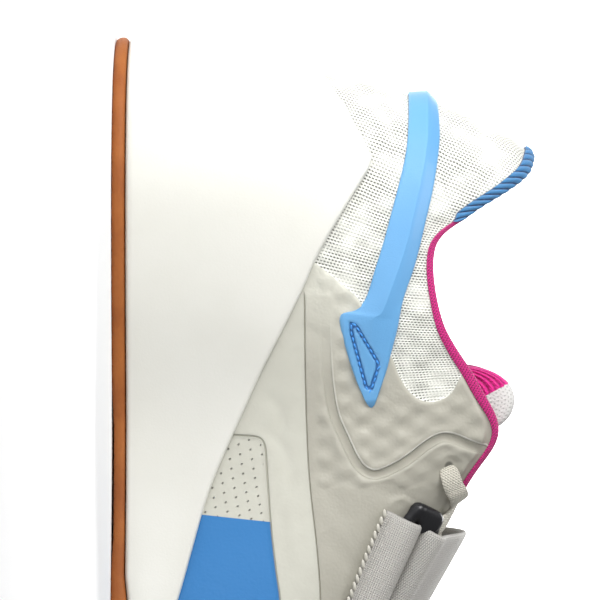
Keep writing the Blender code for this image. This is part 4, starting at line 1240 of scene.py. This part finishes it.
def buildTongue():
    rows = np.linspace(tongueSet["front"], tongueSet["rear"], tongueSet["rows"])
    top = np.array([tongueLine(row, 10) for row in rows])
    last = top[-1]
    size = len(last)
    centre = last[size // 2]
    down = np.cross(np.gradient(top, axis=0), np.gradient(top, axis=1))
    down /= np.linalg.norm(down, axis=2)[:, :, None]
    if down[len(rows) // 2, size // 2, 2] > 0:
        down = -down
    across = np.linspace(-1.0, 1.0, size)
    sideFall = np.sqrt(np.clip(1.0 - np.abs(across) ** 4, 0.05, 1.0))
    thick = tongueSet["thick"]
    middle = top + down * (0.5 * thick)
    half = down * (0.5 * thick * sideFall)[None, :, None]
    upper, lower = list(middle - half), list(middle + half)
    # the pad goes on from the last line, narrower and flatter as it rises
    face = smoothLine(np.array(tongueSet["face"]) * millimetre, 6)[1:]
    back = smoothLine(np.array(tongueSet["back"]) * millimetre, 6)[1:]
    drop = (lower[-1][size // 2] - upper[-1][size // 2])[[0, 2]]
    shift = drop - np.array(tongueSet["back"][0]) * millimetre
    for i, (ahead, rear) in enumerate(zip(face, back)):
        step = (i + 1) / len(face)
        line = last.copy()
        line[:, 1] = centre[1] + (line[:, 1] - centre[1]) * (1.0 - tongueSet["narrow"] * math.sqrt(step))
        line[:, 2] += tongueSet["lift"] * (centre[2] - last[:, 2]) * step ** 0.7
        rear = rear + shift * (1.0 - step)
        mean, part = 0.5 * (ahead + rear), 0.5 * (ahead - rear)
        for made, sign in ((upper, 1.0), (lower, -1.0)):
            place = line.copy()
            place[:, 0] += mean[0] + sign * part[0] * sideFall
            place[:, 2] += mean[1] + sign * part[1] * sideFall
            made.append(place)
    upper, lower = np.array(upper), np.array(lower)
    count = len(upper)
    rings = np.concatenate((upper, lower[:, ::-1]), axis=1)
    # the pink lining: all of the underside near the top, and what lies behind a line in the side view
    (ax, az), (bx, bz) = sideLine(tongueSet["liningLine"])
    behind = (rings[:, :, 0] - ax) * (bz - az) - (rings[:, :, 2] - az) * (bx - ax)
    behind /= math.hypot(bx - ax, bz - az)
    pink = smooth(-0.0004, 0.0004, behind) * (rings[:, :, 2] > tongueSet["liningLow"])
    padded = smooth(len(rows) - 2, len(rows) + 6, np.arange(count))
    pink[:, size:] = np.maximum(pink[:, size:], padded[:, None])
    ribs = np.cos(2 * math.pi * runLength(last) / tongueSet["ribPitch"])
    ridge = np.tile(np.concatenate((ribs, ribs[::-1])), (count, 1))
    outside = np.concatenate((-half[-1:], half[-1:, ::-1]), axis=1) / (0.5 * thick)
    rings = rings + outside * (tongueSet["ribHigh"] * ridge * pink * padded[:, None])[:, :, None]
    marks = {"pink": pink, "rib": ridge}
    piece = tubeMesh("tonguePad", rings, tongueMaterial(), flow=flowMap(rings), marks=marks)
    finishPiece(piece, "white_knit", "tongue")


buildTongue()

insoleSet = {
    "across": 140, "thick": 0.004, "edge": 0.0008,
    "cloth": {"face": (0.03, 0.07, 0.26), "deep": (0.07, 0.13, 0.38), "rough": 0.92, "sheen": 0.2,
              "threads": (0.8, 0.8, 0.3), "change": (-0.6, 0.8), "bump": 0.0001},
}


def insoleProfile(q):
    edge = insoleSet["edge"]
    depth = shoe["randWidth"] + shoe["gap"] + shoe["wall"] + edge
    top = shoe["gap"] + insoleSet["thick"]
    return np.stack((onSeat(q, depth + 0.001, shoe["gap"]), onSeat(q, depth, shoe["gap"] + 0.001),
                     onSeat(q, depth, top - edge), onSeat(q, depth + edge, top)), axis=1)


def buildInsole():
    material = wovenMaterial("insoleCloth", placeVector, insoleSet["cloth"])
    rows = evenOutline(0.0, shoe["toeRow"], insoleSet["across"])
    finishPiece(trayMesh("insoleBed", rows, insoleProfile, material), "insole_cloth", "insole")


buildInsole()
print("tongue and insole done")

# The toe cap: a smooth overlay with a rolled edge
capSet = {
    "row": 12.4, "across": 260, "up": 34, "thick": 0.0012, "clear": 0.0020, "high": 0.50, "sideDrop": 0.16,
    "white": (0.71, 0.70, 0.64), "shade": (0.58, 0.57, 0.51), "bump": 0.0001,
}


def capLine(x):
    toe = smooth(shoe["springStart"], shoe["length"], x + shoe["heelRest"])
    return shoe["randHeight"] + (shoe["toeBumper"] - shoe["randHeight"]) * toe + capSet["clear"]


def capMaterial():
    material, tree, shader = newMaterial("toeCover", capSet["white"], 0.42, **{"Coat Weight": 0.1})
    grain = leather(tree, placeVector(tree), 1.4, 0.10)
    paint(tree, shader, mixColour(tree, times(tree, grain["Cloud"], 0.3), capSet["white"], capSet["shade"]))
    addBump(tree, shader, grain["Height"], capSet["bump"])
    return material


def buildCap():
    rows = evenRows(capSet["row"], shoe["turn"] - capSet["row"], capSet["across"])
    low = findHeight(rows, capLine)
    sideways = np.abs(rows - shoe["toeRow"]) / (shoe["toeRow"] - capSet["row"])
    high = capSet["high"] - capSet["sideDrop"] * sideways
    endFall = np.sqrt(np.clip(1.0 - np.abs(np.linspace(-1, 1, len(rows))) ** 60, 0.0, 1.0))
    rings = []
    for share in np.linspace(0.0, 1.0, capSet["up"]):
        lift = math.sqrt(max(0.0, 1.0 - (2.0 * share - 1.0) ** 40))
        out = shoe["gap"] + capSet["thick"] * lift * endFall
        rings.append(wallPoint(rows, low + (high - low) * share, out))
    for share in np.linspace(1.0, 0.0, 8):
        rings.append(wallPoint(rows, low + (high - low) * share, 0.00005))
    finishPiece(tubeMesh("toeCover", np.stack(rings, axis=1), capMaterial()), "white_leather", "toe_cap")


buildCap()

# The instep strap: webbing through a black ring, held by a sewn loop
strapSet = {
    "rearRow": 9.62, "width": 0.0365, "thick": 0.0026, "webThick": 0.0019, "lift": 0.0062, "crown": 0.0070,
    "across": 60, "ringDrop": 0.0035, "ringDepth": 0.0100, "ringBar": 0.0034, "ringCorner": 0.0021,
    "ringIn": 0.0028, "ringEnds": 1.7, "ringSquare": 0.72, "overhang": 0.155,
    "anchorMargin": 0.0050, "anchorReach": 0.0054, "anchorLength": 0.0018,
    "sewPitch": 0.0023, "sewThick": 0.0011, "sewSlant": 0.60, "sewIn": 0.0008, "thread": (0.62, 0.60, 0.53),
    "black": (0.010, 0.010, 0.012),
    # the web's face colour on the thread crowns is a painted highlight, its deep colour between them painted
    # shade
    "web": {"face": (0.60, 0.58, 0.54), "deep": (0.33, 0.32, 0.30), "rough": 0.62, "sheen": 0.12,
            "threads": (0.74, 0.8), "change": (0.5, -0.9), "bump": 0.00018},
}


def strapFront():
    rows = np.linspace(strapSet["rearRow"], 15.0, 2000)
    points = along(toplineLoop, rows)
    far = np.linalg.norm(points - points[0], axis=1)
    return float(rows[np.argmax(far >= strapSet["width"])])


strapRear, strapEnd = strapSet["rearRow"], strapFront()


webbing = wovenMaterial("greyWebbing", sidewaysVector, strapSet["web"])
barRadius = 0.5 * strapSet["ringBar"] + shoe["gap"] + strapSet["thick"]
barLift = shoe["gap"] + 0.5 * strapSet["lift"]


def ribbonMesh(name, rings, material, sharp=50.0):
    # A tube whose flow map runs along it
    flow = flowMap(np.swapaxes(rings, 0, 1)).swapaxes(0, 1)
    return tubeMesh(name, rings, material, flow=flow, sharp=sharp)


def bandMesh(name, lines):
    # A flat band of webbing from lines across it, with rounded long edges
    top = np.array(lines)
    normal = np.cross(np.gradient(top, axis=0), np.gradient(top, axis=1))
    normal /= np.linalg.norm(normal, axis=2)[:, :, None]
    edgeFall = np.sqrt(np.clip(1.0 - np.abs(np.linspace(-1.0, 1.0, top.shape[1])) ** 24, 0.02, 1.0))
    half = 0.5 * strapSet["webThick"]
    upper = top - normal * (half * (1 - edgeFall))[None, :, None]
    lower = top - normal * (half * (1 + edgeFall))[None, :, None]
    return ribbonMesh(name, np.concatenate((upper, lower[:, ::-1]), axis=1), webbing, 60.0)


def upperBar():
    ends = []
    for q in (strapRear - strapSet["overhang"], strapEnd + strapSet["overhang"]):
        q = np.array([q])
        ends.append(wallPoint(q, edgeShare(q, strapSet["ringDrop"]), barLift)[0])
    return ends


def settle(target, q, h):
    # The places on the wall that lie nearest to some points
    step = 0.004
    for _ in range(8):
        here = wallPoint(q, h)
        run = (wallPoint(q + step, h) - here) / step
        rise = (here - wallPoint(q, h - step)) / step
        off = target - here
        rr, uu, ru = (run * run).sum(1), (rise * rise).sum(1), (run * rise).sum(1)
        ro, uo = (run * off).sum(1), (rise * off).sum(1)
        size = rr * uu - ru * ru
        q = q + (ro * uu - uo * ru) / size
        h = h + (uo * rr - ro * ru) / size
    return q, h


def belowBar(near, far, shares, depth):
    # Places on the wall square below the ring's upper bar
    shares = np.asarray(shares, dtype=float)
    q, h = settle(near + (far - near) * shares[:, None], strapRear + shares, np.full(len(shares), 0.95))
    down = np.cross(far - near, wallNormal(q, h))
    down *= (depth / np.linalg.norm(down, axis=1) * np.where(down[:, 2] > 0.0, -1.0, 1.0))[:, None]
    return settle(wallPoint(q, h) + down, q, h)


def barLines(q, h, near, far, angles):
    # Lines of webbing round one long bar of the ring
    run = (far - near) / np.linalg.norm(far - near)
    centre = near + run * ((wallPoint(q, h) - near) @ run)[:, None]
    normal = wallNormal(q, h)
    normal = normal - run * (normal @ run)[:, None]
    normal /= np.linalg.norm(normal, axis=1)[:, None]
    up = np.cross(run, normal)
    if up[0, 2] < 0.0:
        up = -up
    return [centre + (normal * math.cos(a) + up * math.sin(a)) * barRadius for a in np.radians(angles)]


def between(start, end, shares):
    return [start + (end - start) * share for share in shares]


def buildStrap(near, far):
    across = np.linspace(strapRear, strapEnd, strapSet["across"])
    lateral = shoe["turn"] - across
    lift = shoe["gap"] + strapSet["lift"]
    lines = []
    # up the lateral wall, standing further off towards the topline
    for h in np.concatenate((np.linspace(0.18, 0.9, 36), [0.93, 0.96])):
        out = shoe["gap"] + strapSet["thick"] + (strapSet["lift"] - strapSet["thick"]) * smooth(0.3, 0.9, h)
        lines.append(wallPoint(lateral, np.full(len(across), h), out))
    # crowned over the throat, then over the bar and under it
    medialEdge = wallPoint(across, np.ones(len(across)), lift)
    lateralEdge = wallPoint(lateral, np.ones(len(across)), lift)
    for share in np.linspace(0.97, 0.2, 28):
        point = medialEdge + (lateralEdge - medialEdge) * share
        point[:, 2] += strapSet["crown"] * math.sin(math.pi * share)
        lines.append(point)
    share = edgeShare(across, strapSet["ringDrop"])
    lines += between(lines[-1], barLines(across, share, near, far, (66,))[0], (0.25, 0.5, 0.75))
    lines += barLines(across, share, near, far, np.linspace(62, -125, 22))
    finishPiece(bandMesh("strapBand", lines), "grey_webbing", "strap")


def buildAnchor(near, far, lower):
    margin = strapSet["anchorMargin"] / np.linalg.norm(far - near)
    shares = np.linspace(margin, 1.0 - margin, strapSet["across"])
    q, h = belowBar(near, far, shares, strapSet["ringDepth"])
    lines = barLines(q, h, lower[1], lower[0], np.linspace(125, -50, 22))
    # down to the wall, then flat on it
    flat = shoe["gap"] + strapSet["webThick"] + 0.0002
    reach = strapSet["ringDepth"] + strapSet["anchorReach"]
    meet = wallPoint(*belowBar(near, far, shares, reach), flat)
    lines += between(lines[-1], meet, (0.3, 0.6, 0.85))
    for more in np.linspace(0.0, strapSet["anchorLength"], 6):
        q, h = belowBar(near, far, shares, reach + more)
        lines.append(wallPoint(q, h, flat))
    finishPiece(bandMesh("anchorLoop", lines), "grey_webbing", "strap_anchor")
    # the row of slanting stitches over the flap's edge
    edge, inside = lines[-1], lines[-4]
    thread, _, _ = newMaterial("paleThread", strapSet["thread"], 0.6)
    points, runs = stitchLine(edge, strapSet["sewPitch"])
    back = inside[len(inside) // 2] - edge[len(edge) // 2]
    back /= np.linalg.norm(back)
    runs = runs / np.linalg.norm(runs, axis=1)[:, None] + strapSet["sewSlant"] * back
    face = np.tile(wallNormal(q, h)[len(q) // 2], (len(points), 1))
    points = points - back * strapSet["sewIn"] + face * 0.0002
    sewn = stitchPiece("flapStitches", points, runs, face, strapSet["sewPitch"] * 1.25,
                       strapSet["sewThick"], thread)
    finishPiece(sewn, "grey_webbing")


def ringMaterial():
    material, tree, shader = newMaterial("blackRing", strapSet["black"], 0.3, **{"Specular IOR Level": 0.35})
    fine = noise(tree, placeVector(tree), 1.2)
    tree.links.new(plus(tree, times(tree, fine, 0.15), 0.24), shader.inputs["Roughness"])
    addBump(tree, shader, fine, 0.00005)
    return material


def squared(value, power):
    # A sine or cosine flattened towards a square
    return math.copysign(abs(value) ** power, value)


def buildRing(spine):
    corners = [Vector(corner) for corner in spine]
    easing = strapSet["ringCorner"] * 1.5
    path = []
    for i, corner in enumerate(corners):
        before = (corners[i - 1] - corner).normalized() * easing
        after = (corners[(i + 1) % 4] - corner).normalized() * easing
        for t in np.linspace(0.0, 1.0, 9):
            point = (corner + before) * (1 - t) ** 2 + corner * 2 * t * (1 - t) + (corner + after) * t * t
            path.append(tuple(point))
    path = np.array(path)
    tangent = np.roll(path, -1, axis=0) - np.roll(path, 1, axis=0)
    tangent /= np.linalg.norm(tangent, axis=1)[:, None]
    bar, end = np.array(corners[1] - corners[0]), np.array(corners[2] - corners[1])
    flatNormal = np.cross(bar, end)
    flatNormal /= np.linalg.norm(flatNormal)
    side = np.cross(tangent, flatNormal)
    # the two short ends are wider than the bars
    barShare = np.abs(tangent @ (bar / np.linalg.norm(bar)))
    wide = 1.0 + strapSet["ringEnds"] * (1.0 - smooth(0.2, 0.9, barShare))
    rings = []
    for angle in np.linspace(0, 2 * math.pi, 20, endpoint=False):
        a = squared(math.cos(angle), strapSet["ringSquare"]) * strapSet["ringBar"] * 0.52
        b = squared(math.sin(angle), strapSet["ringSquare"]) * strapSet["ringBar"] * 0.48
        rings.append(path + side * (a * wide)[:, None] + flatNormal * b * (0.6 + 0.4 * wide)[:, None])
    piece = tubeMesh("ringBlack", np.stack(rings, axis=1), ringMaterial(), loop=True)
    finishPiece(piece, "black_plastic", "strap_ring")


barNear, barFar = upperBar()
barLower = wallPoint(*belowBar(barNear, barFar, (1.0, 0.0), strapSet["ringDepth"]), barLift)
buildStrap(barNear, barFar)
buildAnchor(barNear, barFar, barLower)
barRun = strapSet["ringIn"] * (barFar - barNear) / np.linalg.norm(barFar - barNear)
buildRing([barNear + barRun, barFar - barRun, barLower[0] - barRun, barLower[1] + barRun])
print("strap done")

# Flat laces: out of each eyelet, over the throat edge and across
laceSet = {
    "rearRow": 8.75, "frontRow": 12.3, "rows": 5, "width": 0.0062, "thick": 0.0016, "edge": 0.0098,
    "firstSlant": 0.56, "slant": 0.12, "low": 0.0008, "high": 0.0022, "sag": 0.0012,
    "middleUp": (0.5, 0.0, 0.86),
    # from an eyelet to the throat edge: shares of the edge, height off the wall, share of the slant
    "climb": ((1.0, -0.0014, 0.0), (0.86, 0.0018, 0.20), (0.55, 0.0034, 0.62), (0.0, 0.0016, 1.0)),
    "cloth": {"face": (0.70, 0.67, 0.58), "deep": (0.36, 0.34, 0.28), "rough": 0.88, "sheen": 0.15,
              "threads": (0.9, 0.75, 0.8), "change": (0.4, -0.8), "bump": 0.0002},
}


def laceMesh(name, points, ups, material):
    path, upLine = smoothLine(points, 10), smoothLine(ups, 10)
    tangent = np.gradient(path, axis=0)
    tangent /= np.linalg.norm(tangent, axis=1)[:, None]
    side = np.cross(upLine, tangent)
    side /= np.linalg.norm(side, axis=1)[:, None]
    up = np.cross(tangent, side)
    # pinched where it goes into the eyelets
    share = np.linspace(0.0, 1.0, len(path))
    pinch = 0.55 + 0.45 * smooth(0.0, 0.16, np.minimum(share, 1.0 - share))
    rings = []
    for angle in np.linspace(0, 2 * math.pi, 18, endpoint=False):
        a = squared(math.cos(angle), 0.55) * 0.5 * laceSet["width"]
        b = squared(math.sin(angle), 0.8) * 0.5 * laceSet["thick"]
        rings.append(path + side * (a * pinch)[:, None] + up * b)
    return ribbonMesh(name, np.stack(rings, axis=1), material)


def buildLaces():
    material = wovenMaterial("laceWeave", flowVector, laceSet["cloth"])
    rows = np.linspace(laceSet["rearRow"], laceSet["frontRow"], laceSet["rows"])
    turn = shoe["turn"]
    pairs = []
    for a, b in zip(rows[:-1], rows[1:]):
        pairs += [(a, turn - b, laceSet["low"]), (b, turn - a, laceSet["high"])]
    pairs.append((rows[-1], turn - rows[-1], laceSet["low"]))
    for i, (start, end, lift) in enumerate(pairs):
        points, ups = [], []
        for q, other, order in ((start, turn - end, 1), (end, turn - start, -1)):
            slant = laceSet["firstSlant" if i == 0 and order > 0 else "slant"] * (other - q)
            line = []
            for depth, out, ahead in laceSet["climb"]:
                place = np.array([q + slant * ahead])
                line.append(wallPoint(place, edgeShare(place, laceSet["edge"] * depth), out)[0])
            points += line[::order]
            ups += [wallNormal(np.array([q]), np.array([0.97]))[0]] * len(line)
        middle = 0.5 * (points[3] + points[4])
        middle[2] += lift - laceSet["sag"]
        points.insert(4, middle)
        ups.insert(4, np.array(laceSet["middleUp"]))
        piece = laceMesh("lace_%02d" % (i + 1), np.array(points), np.array(ups), material)
        finishPiece(piece, "lace_cloth", "laces")


buildLaces()
print("laces done")

# Floor, light and camera at the photo's side view, rolled as the photo is turned
stageSet = {
    "floor": (0.93, 0.93, 0.93), "room": 0.36, "reach": 6.0, "backdrop": 4.0, "sweep": 0.8,
    "away": 1.30, "field": 0.180, "nearSide": -0.036, "middleX": 0.0357, "middleZ": 0.05655, "sensor": 36.0,
    # name, place, what it looks at, size and power
    "lights": (("heelKey", (-0.40, -0.36, 0.24), (-0.03, 0.0, 0.06), 0.26, 3.0),
               ("topSoft", (-0.3, -0.4, 1.4), (0.0, 0.0, 0.05), 0.7, 5.0),
               ("sideFill", (-0.5, -1.5, 0.7), (0.0, 0.0, 0.05), 0.8, 2.0),
               ("wallWash", (0.0, 2.4, 2.4), (0.0, 4.0, 0.2), 1.6, 280.0)),
}


def buildFloor():
    # a flat floor that sweeps up into a backdrop
    reach, backdrop, sweep = stageSet["reach"], stageSet["backdrop"], stageSet["sweep"]
    line = [(-reach, 0.0), (backdrop, 0.0)]
    for a in np.radians(np.linspace(0, 90, 13)[1:]):
        line.append((backdrop + sweep * math.sin(a), sweep - sweep * math.cos(a)))
    line.append((backdrop + sweep, reach))
    mesh = bpy.data.meshes.new("floor")
    verts = [(x, y, z) for y, z in line for x in (-reach, reach)]
    faces = [(2 * i, 2 * i + 1, 2 * i + 3, 2 * i + 2) for i in range(len(line) - 1)]
    mesh.from_pydata(verts, [], faces)
    mesh.shade_smooth()
    mesh.materials.append(newMaterial("paleFloor", stageSet["floor"], 0.9)[0])
    floor = linkPiece("floor", mesh)


def buildLights():
    world = bpy.data.worlds.new("softRoom")
    bpy.context.scene.world = world
    world.use_nodes = True
    background = world.node_tree.nodes["Background"]
    background.inputs["Color"].default_value = (1.0, 1.0, 1.0, 1.0)
    background.inputs["Strength"].default_value = stageSet["room"]
    bpy.context.scene.view_settings.view_transform = "Standard"
    for name, place, target, size, power in stageSet["lights"]:
        lamp = bpy.data.lights.new(name, "AREA")
        lamp.shape = "DISK"
        lamp.size = size
        lamp.energy = power
        made = linkPiece(name, lamp)
        made.location = place
        made.rotation_euler = (Vector(target) - Vector(place)).to_track_quat("-Z", "Y").to_euler()
        made.visible_camera = False


def buildCamera():
    view = bpy.data.cameras.new("photoView")
    view.sensor_width = stageSet["sensor"]
    view.lens = stageSet["sensor"] * stageSet["away"] / stageSet["field"]
    view.clip_start = 0.01
    view.clip_end = 40.0
    camera = linkPiece("photoView", view)
    place = Vector((stageSet["middleX"], stageSet["nearSide"] - stageSet["away"], stageSet["middleZ"]))
    turn = Matrix(((0.0, -1.0, 0.0), (0.0, 0.0, -1.0), (1.0, 0.0, 0.0))).to_4x4()
    camera.matrix_world = Matrix.Translation(place) @ turn
    bpy.context.scene.camera = camera


buildFloor()
buildLights()
buildCamera()
print("stage done")
